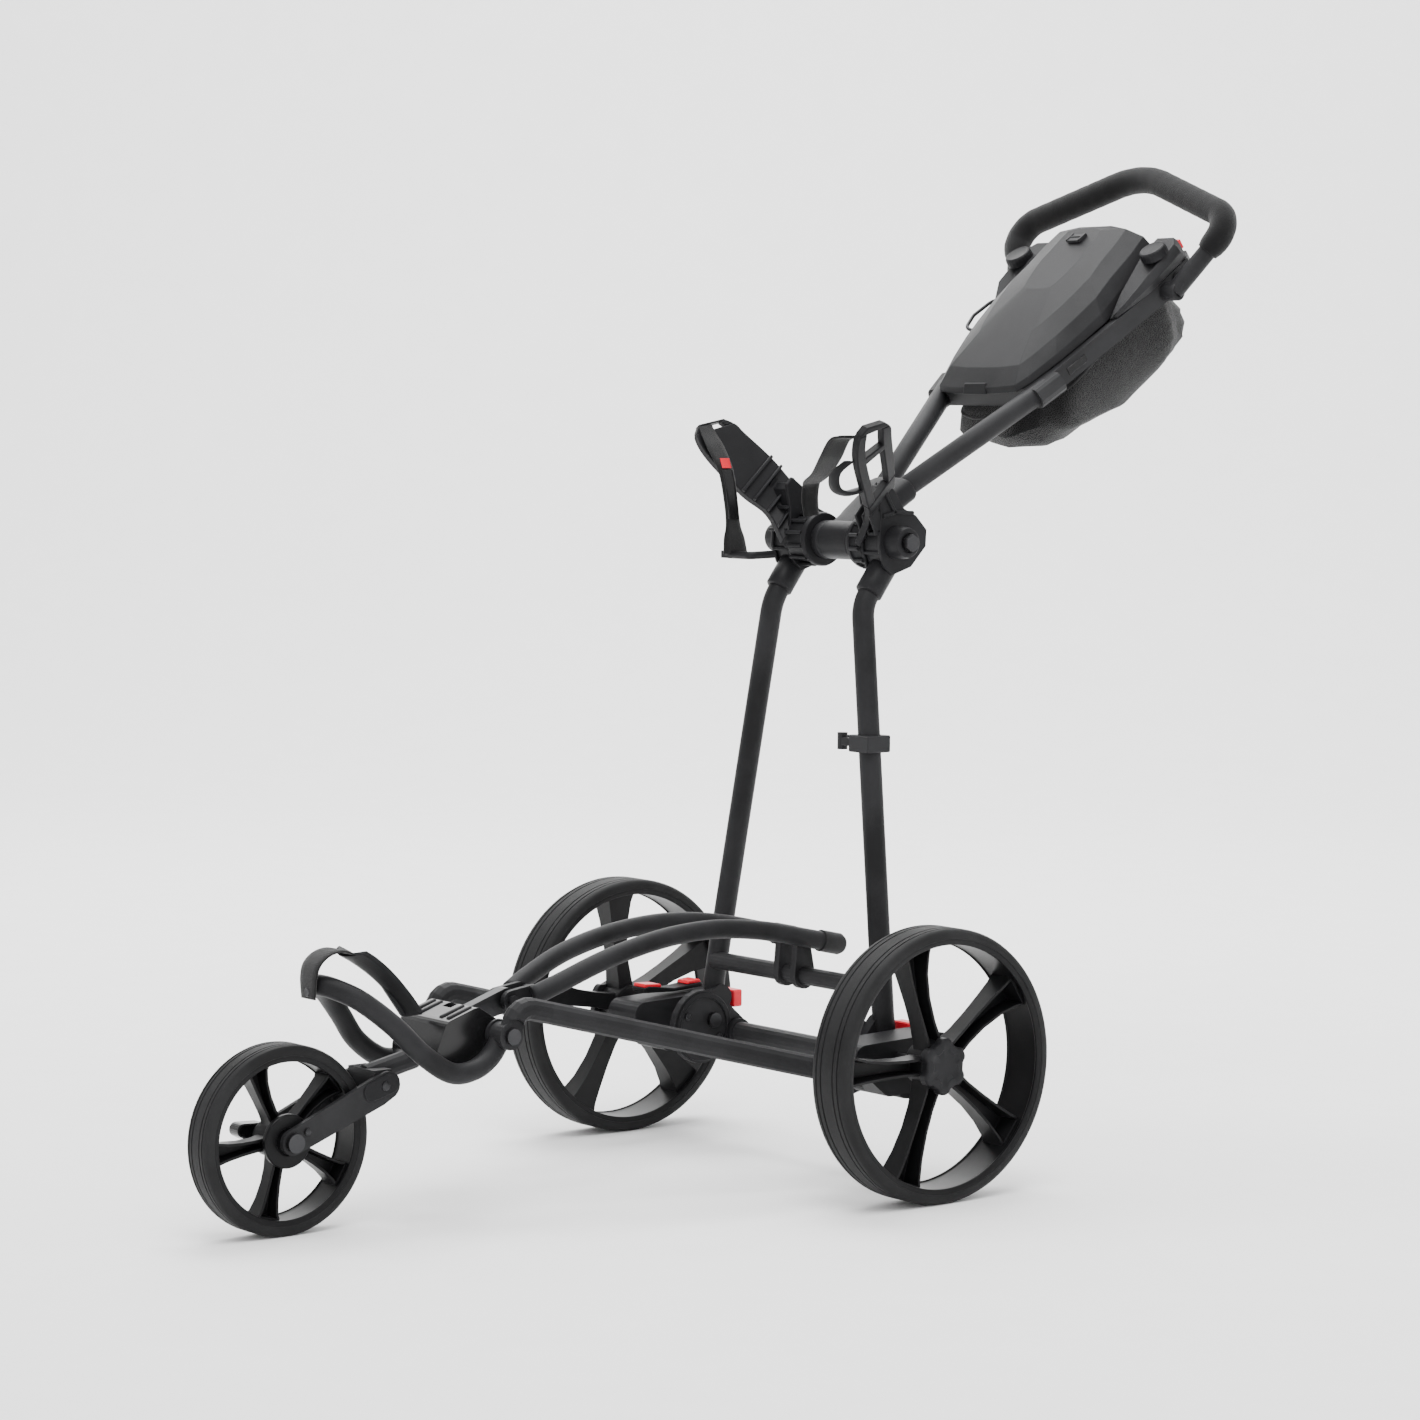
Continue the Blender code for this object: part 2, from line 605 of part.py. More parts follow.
def curved_rods():
    """The two rods that carry the fold from the uprights to the front arm."""
    pin = lever_pin()
    end, before = rod_path()[-1], rod_path()[-2]
    along = (end - before).normalized()
    for label, sign in SIDES:
        cap = sweep(both([end + along * d for d in (-0.016, 0.013, 0.018)], sign), 0.0122, 12)
        part(f"fold_rod_{label}", sweep(both(rod_path(), sign), ROD, 12), "frame", "rods_pivot",
             adds=[cap], cuts=[rod_x(-0.0304, 0.0304, ROD_PIN, 0.0048)])
    ears = []
    for sign in (1, -1):
        low, high = sorted((0.0105 * sign, 0.0195 * sign))
        ears.append(plate_x(hull_outline([(*ROD_PIN, 0.0088), (*ROD_AXIS, 0.0150)]), low, high))
    ears.append(rod_x(-0.0300, 0.0300, ROD_PIN, 0.0042))
    part("rod_pivot_bracket", ears[0], "plastic", "rods_pivot", adds=ears[1:],
         cuts=[rod_x(-0.1, 0.1, ROD_AXIS, CROSSBAR + GAP)])
    cheeks = []
    start = Vector((0.0225, -0.346, 0.2255))
    for sign in (1, -1):
        low, high = sorted((0.0095 * sign, 0.0165 * sign))
        cheeks.append(plate_x(hull_outline([(*pin, 0.0110), (start.y + 0.004, start.z, 0.0105)]), low, high))
    bridge = box((-0.0150, -0.3395, 0.2180), (0.0150, -0.3330, 0.2330))
    cheeks += [bridge] + [rod_x(*sorted((0.0150 * s, 0.0215 * s)), pin, 0.0060) for s in (1, -1)]
    part("rod_clevis", cheeks[0], "plastic", "rods_pivot", adds=cheeks[1:],
         cuts=[bore(both(rod_path(), s), ROD, 12) for _, s in SIDES])


def lever_pin():
    """The (y, z) place of the pin that joins the rods to the front arm's lever."""
    return (ARM_AXIS[0] + LEVER_REACH * math.cos(LEVER_ANGLE),
            ARM_AXIS[1] + LEVER_REACH * math.sin(LEVER_ANGLE))


# ---------------------------------------------------------------- front arm
def hoop_path():
    """Centre line of the bag hoop, from its left eye round the nose to its right eye."""
    left = [(0.0600, *ARM_AXIS), (0.0610, -0.432, 0.172), (0.0630, -0.456, 0.1600), (0.0650, -0.486, 0.1605),
            (0.0620, -0.520, 0.1830), (0.0500, -0.548, 0.2140), (0.0320, -0.577, 0.2405),
            (0.0140, -0.598, 0.2530)]
    return smooth(left + [(0, -0.606, 0.2560)] + mirrored(left[::-1]), 2)


def front_arm():
    """Bag hoop, knuckle, lever, stem, fork and foot: everything that carries the front wheel."""
    eyes = []
    trims = []
    for sign in (1, -1):
        low, high = sorted((0.0530 * sign, (ARM_EYE_X[0] - GAP) * sign))
        eyes.append(rod_x(low, high, ARM_AXIS, 0.0140, 20))
        low, high = sorted(((ARM_EYE_X[0] - GAP) * sign, 0.0800 * sign))
        trims.append(rod_x(low, high, ARM_AXIS, 0.0180))
    part("bag_hoop", sweep(hoop_path(), 0.0112, 12), "frame", "front_arm_pivot", adds=eyes,
         cuts=trims + [rod_x(-0.1, 0.1, ARM_AXIS, BOLT + 0.0004)])
    block = hull_outline([(*ARM_AXIS, 0.0150), (-0.436, 0.210, 0.0120), (-0.466, 0.200, 0.0120),
                          (-0.474, 0.176, 0.0140), (-0.440, 0.172, 0.0100)])
    part("knuckle_block", plate_x(block, -0.0420, 0.0420), "gloss", "front_arm_pivot",
         cuts=[rod_x(-0.1, 0.1, ARM_AXIS, BOLT + 0.0004),
               box((-0.0075, -0.4460, 0.1925), (0.0075, -0.35, 0.26))], bevel=0.002)
    pin = lever_pin()
    lever = hull_outline([(-0.4360, 0.2030, 0.0090), (*pin, 0.0130)])
    hole = rod_x(-0.1, 0.1, pin, 0.0062)
    part("fold_lever", plate_x(lever, -0.0070, 0.0070), "steel", "front_arm_pivot",
         cuts=[hole, rod_x(-0.1, 0.1, ARM_AXIS, BOLT + 0.0004)])
    stem = sweep([(0, -0.4885, 0.1685), (0, -0.5500, 0.1555)], 0.0115)
    crown = box((-0.0242, -0.5555, 0.1370), (0.0242, -0.5330, 0.1640))
    part("fork_stem", stem, "frame", "front_arm_pivot", adds=[crown],
         cuts=[plate_x(hull_outline([(*ARM_AXIS, 0.0153), (-0.466, 0.200, 0.0123), (-0.474, 0.176, 0.0143)]),
                       -0.06, 0.06)])
    side = hull_outline([(FRONT_AXLE_Y, FRONT_RADIUS, 0.0135), (-0.552, 0.1430, 0.0160), (-0.541, 0.1480, 0.0150)])
    for label, sign in SIDES:
        low, high = sorted((0.0245 * sign, 0.0300 * sign))
        part(f"fork_plate_{label}", plate_x(side, low, high), "frame", "front_arm_pivot",
             cuts=[rod_x(-0.1, 0.1, (FRONT_AXLE_Y, FRONT_RADIUS), AXLE_RADIUS + GAP)])
    axle = (FRONT_AXLE_Y, FRONT_RADIUS)
    part("front_axle", rod_x(-0.0400, 0.0340, axle, AXLE_RADIUS), "steel", "front_arm_pivot",
         adds=[rod_x(0.0303, 0.0360, axle, 0.0100, 20)])
    lever_side = hull_outline([(*axle, 0.0125), (axle[0] - 0.022, axle[1] + 0.006, 0.0075)])
    part("axle_release", plate_x(lever_side, -0.0500, -0.0303), "gloss", "front_arm_pivot",
         cuts=[rod_x(-0.0425, 0, axle, AXLE_RADIUS + GAP)], bevel=0.0015)
    bag_foot()


def bag_foot():
    """The slotted tongue above the hoop and the strap that passes through it."""
    rows = (((0.004, -0.506, 0.2150), (0.004, -0.478, 0.2280)),
            ((0.000, -0.518, 0.2330), (0.000, -0.484, 0.2460)),
            ((-0.014, -0.548, 0.2620), (-0.010, -0.506, 0.2720)),
            ((-0.026, -0.576, 0.2790), (-0.020, -0.532, 0.2860)))
    rings = []
    for front, back in rows:
        front, back = Vector(front), Vector(back)
        thick = Vector((-0.006, 0.002, -0.005))
        rings.append([front, back, back + thick, front + thick])
    part("bag_foot", skin(rings), "plastic", "front_arm_pivot",
         cuts=[box((-0.05, -0.5660, 0.2720), (0.02, -0.5400, 0.2760)),
               plate_x(hull_outline([(-0.436, 0.210, 0.0123), (-0.466, 0.200, 0.0123)]), -0.06, 0.06)])
    wide = Vector((0.0150, 0.0, 0.002))
    part("foot_strap", ribbon([
        ((0.000, -0.5780, 0.2890), wide, (0, -0.0002, 0.0013)),
        ((0.000, -0.5940, 0.2910), wide, (0, -0.0005, 0.0012)),
        ((0.000, -0.6110, 0.2860), wide, (0, -0.0010, 0.0009)),
        ((0.000, -0.6200, 0.2700), wide, (0, -0.0013, 0)),
        ((0.000, -0.6205, 0.2430), wide, (0, -0.0013, 0))]), "webbing", "front_arm_pivot")


# ---------------------------------------------------------------- handle and console
def handle_tube_path():
    """Centre line of the left handle tube, from the yoke to inside the console."""
    return [handle_point(0.0136, 0.0860, 0), handle_point(0.0865, 0.2960, 0)]


def tray_outline(inset=0.0):
    """Outline of the console tray, as (x, u), shrunk by inset."""
    left = ((0.074, 0.2765), (0.088, 0.2880), (0.1075, 0.4000), (0.1210, 0.4800), (0.1225, 0.5400),
            (0.108, 0.5560))
    left = [(x - inset, u + inset if u < 0.3 else u - inset if u > 0.5 else u) for x, u in left]
    return left + [(-x, u) for x, u in left[::-1]]


def lid_outline(scale, drop_front, drop_rear):
    """Outline of the lid, as (x, u), narrowed by scale and shortened at both ends."""
    left = ((0.030, 0.2655), (0.066, 0.2700), (0.0750, 0.2880), (0.0865, 0.3300), (0.0925, 0.3640),
            (0.0975, 0.4080), (0.0915, 0.4500), (0.0895, 0.5000), (0.0830, 0.5380), (0.0400, 0.5480))
    out = []
    for x, u in left:
        share = (u - LID_U[0]) / (LID_U[1] - LID_U[0])
        out.append((x * scale, u + drop_front * (1 - share) - drop_rear * share))
    return out + [(-x, u) for x, u in out[::-1]]


def housing_outline():
    """Plan of a rear housing, as (x, u), beside the lid's rear half."""
    return ((0.0990, 0.4130), (0.1090, 0.4180), (0.1300, 0.4700), (0.1310, 0.5280), (0.1200, 0.5420),
            (0.0860, 0.5420), (0.0870, 0.5300), (0.0925, 0.5020), (0.0940, 0.4520))


def console():
    """Console tray, rear housings, knobs, release tabs and mesh pouch."""
    cavity = slab(tray_outline(0.009), TRAY_BOTTOM + 0.003, TRAY_TOP + 0.01)
    tubes = [bore(both(handle_tube_path(), sign), TUBE) for _, sign in SIDES]
    sleeves = [sweep(both([handle_point(0.0820, 0.2770, 0), handle_point(0.0905, 0.3120, 0)], sign), 0.0158, 16)
               for _, sign in SIDES]
    tubes.append(handle_box((-0.12, 0.25, TRAY_TOP), (0.12, 0.33, 0.03)))
    part("console_tray", hollow_tray(cavity, sleeves), "console", "handle_pivot", cuts=tubes)
    for label, sign in SIDES:
        outline = [(x * sign, u) for x, u in housing_outline()]
        relief = handle_box((min(0.1215 * sign, 0.14 * sign), 0.40, 0), (max(0.1215 * sign, 0.14 * sign), 0.60, 0.0215))
        slope = skin([[handle_point(x, u, v) for u, v in ((0.39, 0.006), (0.49, 0.0385), (0.56, 0.0385),
                                                          (0.56, 0.070), (0.39, 0.070))]
                      for x in (-0.2, 0.2)])
        x_low, x_high = sorted((0.1045 * sign, 0.1185 * sign))
        pocket = handle_box((x_low - 0.0004, 0.5295, 0.0226), (x_high + 0.0004, 0.56, 0.0344))
        part(f"rear_housing_{label}", slab(outline, TRAY_TOP + GAP, 0.0405), "console", "handle_pivot",
             cuts=[relief, pocket, slope], bevel=0.0015)
        body = f"grip_tab_{label}_axis"
        pivot(body, handle_point(0.1115 * sign, 0.541, 0.0285), "handle_pivot")
        part(f"grip_tab_{label}", handle_box((x_low, 0.5335, 0.0230), (x_high, 0.5460, 0.0340)), "red", body)
        body = f"knob_{label}_axis"
        centre = (0.1150 * sign, 0.5040)
        pivot(body, handle_point(*centre, 0.0385), "handle_pivot")
        knob = [(centre[0] + 0.0170 * math.cos(t), centre[1] + 0.0170 * math.sin(t))
                for t in (2 * math.pi * i / 24 for i in range(24))]
        part(f"knob_{label}", slab(knob, 0.0388, 0.0505), "console", body, bevel=0.0015)
    part("mesh_pouch", pouch_form(0.0), "mesh_bag", "handle_pivot", cuts=[pouch_form(POUCH_WALL)])


def pouch_form(inset):
    """The hanging pouch as a closed form, or the smaller form of its inside."""
    rings = []
    for v, wide, front, rear in ((-0.0125, 0.078, 0.278, 0.545), (-0.040, 0.082, 0.250, 0.556),
                                 (-0.074, 0.077, 0.290, 0.560), (-0.100, 0.064, 0.370, 0.552),
                                 (-0.112, 0.040, 0.430, 0.530)):
        ring = []
        for i in range(20):
            t = 2 * math.pi * i / 20
            c, s = math.cos(t), math.sin(t)
            x = (wide - inset) * math.copysign(abs(c) ** 0.55, c)
            u = (front + rear) / 2 + ((rear - front) / 2 - inset) * math.copysign(abs(s) ** 0.55, s)
            ring.append(handle_point(x, u, v + inset))
        rings.append(ring)
    return skin(rings)


def hollow_tray(cavity, sleeves):
    """The tray as an open-topped shell, with a solid sleeve where each handle tube enters."""
    shell = as_object("tray_shell", slab(tray_outline(), TRAY_BOTTOM, TRAY_TOP))
    combine(shell, cavity, "DIFFERENCE", "tray_cavity")
    for sleeve in sleeves:
        combine(shell, sleeve, "UNION", "tray_sleeve")
    mesh = bmesh.new()
    mesh.from_mesh(shell.data)
    bpy.data.objects.remove(shell, do_unlink=True)
    return mesh


def handle():
    """Yoke and the two handle tubes that spread towards the console."""
    yoke = rod_x(-FLANGE_X["right"] + GAP, FLANGE_X["left"] - GAP, HUB_AXIS, 0.0220, 24)
    block = skin([[handle_point(x, u, v) for x, v in ((-w, -0.017), (w, -0.017), (w, 0.017), (-w, 0.017))]
                  for u, w in ((0.0, 0.0272), (0.0320, 0.0272), (0.0345, 0.034), (0.100, 0.036))])
    tubes = [bore(both(handle_tube_path(), sign), TUBE) for _, sign in SIDES]
    part("handle_yoke", yoke, "plastic", "handle_pivot", adds=[block],
         cuts=tubes + [rod_x(-0.1, 0.1, HUB_AXIS, BOLT + 0.0004)])
    for label, sign in SIDES:
        part(f"handle_tube_{label}", sweep(both(handle_tube_path(), sign), TUBE), "frame", "handle_pivot")


def lid():
    """Faceted console lid, hollow underneath."""
    base = TRAY_TOP + GAP
    levels = ((base, 1.0, 0.000, 0.000), (0.0300, 0.985, 0.000, 0.002), (0.0500, 0.900, 0.012, 0.004),
              (0.0640, 0.720, 0.036, 0.008), (0.0700, 0.420, 0.072, 0.018))

    def dome(thin, lower):
        rings = []
        for v, scale, front, rear in levels:
            ring = []
            for x, u in lid_outline(scale - thin * 12, front + thin, rear + thin):
                rise = 0.70 + 0.30 * (u - LID_U[0]) / (LID_U[1] - LID_U[0])
                ring.append(handle_point(x, u, base + (v - base) * rise - lower))
            rings.append(ring)
        return skin(rings)
    part("console_lid", dome(0.0, 0.0), "console", "lid_pivot", cuts=[dome(0.003, 0.004)])


def grip_point(x, s):
    """A point in the grip's plane: s runs up from the tilt axis."""
    return handle_point(x, GRIP_AXIS[0] + s * math.cos(GRIP_RISE), GRIP_AXIS[1] + s * math.sin(GRIP_RISE))


def grip_path():
    """Centre line of the grip bar from the left tilt pivot to the right one."""
    left = [grip_point(GRIP_PIVOT_X, 0), grip_point(0.1840, 0.0960), grip_point(0, 0.1665)]
    right = mirrored(left[:2][::-1])
    return left + right


def grip():
    """Tilting grip bar with its foam sleeve."""
    corners = grip_path()
    soft = fillet([corners[0], corners[1], corners[2]], 0.030, 6)[:-1]
    top = fillet([corners[1], corners[2], corners[3]], 0.110, 6)[1:-1]
    line = soft + top + mirrored(soft[::-1])
    eyes = []
    for sign in (1, -1):
        low, high = sorted((0.1235 * sign, 0.1445 * sign))
        centre = handle_point(0, *GRIP_AXIS)
        eyes.append(rod_x(low, high, (centre.y, centre.z), 0.0108, 20))
    part("grip_bar", sweep(line, BAR, 12), "frame", "grip_pivot", adds=eyes)
    start = line[0].lerp(line[1], 0.80)
    sleeve = [start] + line[1:-1] + mirrored([start])
    part("foam_grip", pipe(sleeve, FOAM, BAR + GAP), "foam", "grip_pivot")


def build():
    """Make the joint axes, then every part."""
    clear_scene()
    pivot("trolley", (0, 0, 0))
    pivot("uprights_pivot", side_point(0, FOLD_AXIS), "trolley")
    pivot("rods_pivot", side_point(0, ROD_AXIS), "uprights_pivot")
    pivot("front_arm_pivot", side_point(0, ARM_AXIS), "trolley")
    pivot("handle_pivot", side_point(0, HUB_AXIS), "uprights_pivot")
    pivot("lid_pivot", handle_point(0, *LID_HINGE), "handle_pivot")
    pivot("grip_pivot", handle_point(0, *GRIP_AXIS), "handle_pivot")
    base_frame()
    base_controls()
    wheels()
    uprights()
    curved_rods()
    front_arm()
    handle()
    console()
    lid()
    grip()


build()
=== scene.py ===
"""The looks of a folding golf push trolley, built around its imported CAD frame.

Units are metres in the row frame: +Z up, -Y towards the front wheel, +X the trolley's left.
Points of the frame are written from the rear axle line, as the CAD does; at() moves them.
"""
import json
import math

import bpy
from mathutils import Matrix, Vector


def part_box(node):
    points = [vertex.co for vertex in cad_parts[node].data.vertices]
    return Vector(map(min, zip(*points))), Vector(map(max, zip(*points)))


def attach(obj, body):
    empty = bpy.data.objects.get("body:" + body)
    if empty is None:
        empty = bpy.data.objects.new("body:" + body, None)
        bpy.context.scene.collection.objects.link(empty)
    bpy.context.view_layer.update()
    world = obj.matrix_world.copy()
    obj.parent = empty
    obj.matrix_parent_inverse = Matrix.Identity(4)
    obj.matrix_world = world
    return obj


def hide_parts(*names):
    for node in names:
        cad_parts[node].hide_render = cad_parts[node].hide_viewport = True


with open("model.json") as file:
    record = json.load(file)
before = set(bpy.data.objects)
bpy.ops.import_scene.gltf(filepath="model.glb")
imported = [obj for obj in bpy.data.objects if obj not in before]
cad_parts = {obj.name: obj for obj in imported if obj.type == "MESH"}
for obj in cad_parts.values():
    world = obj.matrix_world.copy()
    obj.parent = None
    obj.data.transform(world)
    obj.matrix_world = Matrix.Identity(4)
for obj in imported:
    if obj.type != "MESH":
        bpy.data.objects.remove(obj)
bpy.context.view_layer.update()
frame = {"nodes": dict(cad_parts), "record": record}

# ---------------------------------------------------------------- frame of reference
_low, _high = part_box("left_wheel_tyre")
REAR_AXLE_Y = (_low[1] + _high[1]) / 2
REAR_RADIUS = _high[2] / 2
REAR_X = (_low[0] + _high[0]) / 2
REAR_HALF = (_high[0] - _low[0]) / 2
_low, _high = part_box("front_wheel_tyre")
FRONT_RADIUS = _high[2] / 2
FRONT_HALF = (_high[0] - _low[0]) / 2
FRONT_Y = (_low[1] + _high[1]) / 2 - REAR_AXLE_Y

HUB = (0.101, 0.708)                 # top hub, as (y, z)
ARM_AXIS = (-0.416, 0.194)
FOLD_AXIS = (0.020, 0.147)
HANDLE_TILT = math.radians(36.3)
TUBE = 0.0125
ROD = 0.0108
GRIP_AXIS = (0.488, -0.0005)
GRIP_RISE = math.radians(24)
SIDES = (("left", 1), ("right", -1))
HUB_FACES = (("left", 1, 0.0425), ("right", -1, 0.0280))  # how far out each hub flange starts


def at(x, y, z):
    """A point counted from the rear axle line, in the row frame."""
    return Vector((x, y + REAR_AXLE_Y, z))


def on_handle(x, u, v):
    """A point in the handle's own frame: u up the handle, v square to it."""
    c, s = math.cos(HANDLE_TILT), math.sin(HANDLE_TILT)
    return at(x, HUB[0] + u * c - v * s, HUB[1] + u * s + v * c)


def on_grip(x, s):
    """A point in the grip's plane: s runs up from its tilt axis."""
    return on_handle(x, GRIP_AXIS[0] + s * math.cos(GRIP_RISE), GRIP_AXIS[1] + s * math.sin(GRIP_RISE))


# ---------------------------------------------------------------- materials
SPECULAR = 0.12                      # dull moulded and powder coated faces
COAT_ROUGHNESS = 0.25
BROAD_SCALE = 14.0                   # the broad mottling that every finish shares
FINE_SHARE = 0.6                     # how much of the fine grain shows in the colour
MOTTLE_SPAN = (0.35, 0.65)           # noise values between which the colour changes
PATTERN_SHARE = 0.55                 # how much a pattern darkens the colour
EDGE_SPAN = (0.53, 0.62)             # pointiness between which an edge begins to look worn
ROUGH_SPREAD = 0.08                  # roughness varies this much either way


def feed(tree, socket, value):
    """Link an input to another node's output, or set it to a plain value."""
    if isinstance(value, bpy.types.NodeSocket):
        tree.links.new(value, socket)
    else:
        socket.default_value = value


def node(tree, kind, *inputs, **values):
    """Add a shader node; inputs are given in order or by name, properties by name."""
    made = tree.nodes.new(kind)
    for key, value in values.items():
        name = key.replace("_", " ")
        if name in made.inputs:
            feed(tree, made.inputs[name], value)
        else:
            setattr(made, key, value)
    for socket, value in zip(made.inputs, inputs):
        feed(tree, socket, value)
    return made


def spread_over(tree, value, **span):
    """The output of a node that maps a value from one range to another."""
    return node(tree, "ShaderNodeMapRange", Value=value, **span).outputs["Result"]


def finish_material(name, colour, rough, grain=900.0, bump=0.12, mottle=0.25, wear=0.0, metallic=0.0,
                    sheen=0.0, coat=0.0, pattern=None, pattern_scale=1.0, distance=0.0004):
    """A Principled material with mottled colour, fine grain, worn edges and an optional pattern."""
    made = bpy.data.materials.new(name)
    made.use_nodes = True
    made.diffuse_color = (*colour, 1)
    tree = made.node_tree
    shader = tree.nodes["Principled BSDF"]
    place = node(tree, "ShaderNodeTexCoord").outputs["Object"]
    broad = node(tree, "ShaderNodeTexNoise", Vector=place, Scale=BROAD_SCALE, Detail=4.0).outputs["Fac"]
    fine = node(tree, "ShaderNodeTexNoise", Vector=place, Scale=grain, Detail=3.0,
                Roughness=0.6).outputs["Fac"]

    both = node(tree, "ShaderNodeMath", fine, FINE_SHARE, broad, operation="MULTIPLY_ADD").outputs[0]
    centred = node(tree, "ShaderNodeMath", both, FINE_SHARE / 2, operation="SUBTRACT").outputs[0]
    ramp = node(tree, "ShaderNodeValToRGB", Fac=centred)
    for stop, position, change in zip(ramp.color_ramp.elements, MOTTLE_SPAN, (-mottle, mottle)):
        stop.color = (*[min(1.0, c * (1 + change)) for c in colour], 1)
        stop.position = position

    tint, height = ramp.outputs["Color"], fine
    if pattern:
        height, mask = pattern(tree, place, pattern_scale, fine)
        tint = node(tree, "ShaderNodeMix", data_type="RGBA", blend_type="MULTIPLY", Factor=PATTERN_SHARE,
                    A=tint, B=mask).outputs["Result"]
    if wear:
        pointed = node(tree, "ShaderNodeNewGeometry").outputs["Pointiness"]
        edges = spread_over(tree, pointed, From_Min=EDGE_SPAN[0], From_Max=EDGE_SPAN[1])
        worn = node(tree, "ShaderNodeMath", edges, wear, operation="MULTIPLY").outputs[0]
        pale = (*[min(1.0, c * 2.2 + 0.02) for c in colour], 1)
        tint = node(tree, "ShaderNodeMix", data_type="RGBA", Factor=worn, A=tint, B=pale).outputs["Result"]

    roughness = spread_over(tree, broad, To_Min=max(0.05, rough - ROUGH_SPREAD),
                            To_Max=min(1.0, rough + ROUGH_SPREAD))
    relief = node(tree, "ShaderNodeBump", Strength=bump, Distance=distance, Height=height)
    for key, value in (("Base Color", tint), ("Roughness", roughness), ("Metallic", metallic),
                       ("Specular IOR Level", SPECULAR), ("Sheen Weight", sheen), ("Coat Weight", coat),
                       ("Coat Roughness", COAT_ROUGHNESS), ("Normal", relief.outputs["Normal"])):
        feed(tree, shader.inputs[key], value)
    return made


def weave(tree, place, scale, grain):
    """Crossed threads for webbing: returns a height and a colour mask, as every pattern does."""
    threads = [node(tree, "ShaderNodeTexWave", Vector=place, Scale=scale, Distortion=0.4,
                    wave_type="BANDS", bands_direction=way).outputs["Fac"] for way in ("Y", "Z")]
    crossed = node(tree, "ShaderNodeMath", *threads, operation="MULTIPLY").outputs[0]
    height = node(tree, "ShaderNodeMath", crossed, 0.8, grain, operation="MULTIPLY_ADD").outputs[0]
    return height, spread_over(tree, crossed, To_Min=0.45)


def net(tree, place, scale, _grain):
    """Fine open net: cells with raised threads between them."""
    cells = node(tree, "ShaderNodeTexVoronoi", Vector=place, Scale=scale, feature="DISTANCE_TO_EDGE")
    thread = spread_over(tree, cells.outputs["Distance"], From_Min=0.02, From_Max=0.12, To_Min=1.0,
                         To_Max=0.0)
    return thread, spread_over(tree, thread, To_Min=0.25)


def pores(tree, place, scale, grain):
    """The small pores of foam."""
    cells = node(tree, "ShaderNodeTexVoronoi", Vector=place, Scale=scale).outputs["Distance"]
    height = node(tree, "ShaderNodeMath", cells, grain, operation="ADD").outputs[0]
    return height, spread_over(tree, cells, From_Max=0.6, To_Min=0.55)


def brushed(tree, place, scale, _grain):
    """Fine parallel lines of brushed metal."""
    stretched = node(tree, "ShaderNodeMapping", Vector=place, Scale=(scale * 0.05, scale, scale))
    lines = node(tree, "ShaderNodeTexNoise", Vector=stretched.outputs["Vector"], Scale=6.0,
                 Detail=2.0).outputs["Fac"]
    return lines, spread_over(tree, lines, To_Min=0.7)


MATERIALS = {
    "frame": finish_material("powder coat", (0.015, 0.015, 0.016), 0.50, 1500, 0.35, 0.35, 0.25, 0.15),
    "plastic": finish_material("moulded black", (0.010, 0.010, 0.011), 0.46, 1100, 0.25, 0.25, 0.30),
    "gloss": finish_material("gloss black", (0.006, 0.006, 0.0065), 0.22, 400, 0.05, 0.2, 0.30, coat=0.4),
    "console": finish_material("console black", (0.018, 0.018, 0.019), 0.47, 1400, 0.30, 0.22, 0.20),
    "tyre": finish_material("tyre rubber", (0.013, 0.013, 0.0135), 0.56, 1600, 0.40, 0.30, 0.15),
    "rim": finish_material("rim black", (0.006, 0.006, 0.0065), 0.36, 700, 0.12, 0.25, 0.45),
    "foam": finish_material("foam", (0.006, 0.006, 0.0065), 0.88, 1800, 0.55, 0.3, sheen=0.15,
                            pattern=pores, pattern_scale=900, distance=0.0006),
    "webbing": finish_material("webbing", (0.009, 0.009, 0.0095), 0.82, 1800, 0.6, 0.25, sheen=0.2,
                               pattern=weave, pattern_scale=260, distance=0.0006),
    "mesh_bag": finish_material("net", (0.007, 0.007, 0.0075), 0.85, 1500, 0.7, 0.35, sheen=0.2,
                                pattern=net, pattern_scale=420, distance=0.0008),
    "steel": finish_material("dark steel", (0.035, 0.035, 0.037), 0.36, 900, 0.1, 0.2, 0.3, 0.9,
                             pattern=brushed, pattern_scale=300),
    "red": finish_material("red plastic", (0.62, 0.010, 0.024), 0.36, 900, 0.10, 0.12, 0.15, coat=0.2),
}


# ---------------------------------------------------------------- mesh helpers
def solid(name, shape, kind, body, stands_for=None, bevel=0.0, thick=0.0, angle=35, bevel_angle=40):
    """Make one visible piece from a shape: its finish, its body, and the CAD node it stands for."""
    data = bpy.data.meshes.new(name)
    data.from_pydata([tuple(v) for v in shape.verts], [], shape.faces)
    data.validate()
    made = bpy.data.objects.new(name, data)
    bpy.context.scene.collection.objects.link(made)
    data.materials.append(MATERIALS[kind])
    if thick:
        skin = made.modifiers.new("thickness", "SOLIDIFY")
        skin.thickness = thick
        skin.offset = 0
        skin.use_even_offset = True
    if bevel:
        edge = made.modifiers.new("soft edges", "BEVEL")
        edge.width = bevel
        edge.segments = 2
        edge.limit_method = "ANGLE"
        edge.angle_limit = math.radians(bevel_angle)
    data.shade_smooth()
    data.set_sharp_from_angle(angle=math.radians(angle))
    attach(made, body)
    if stands_for:
        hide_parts(stands_for)
    return made


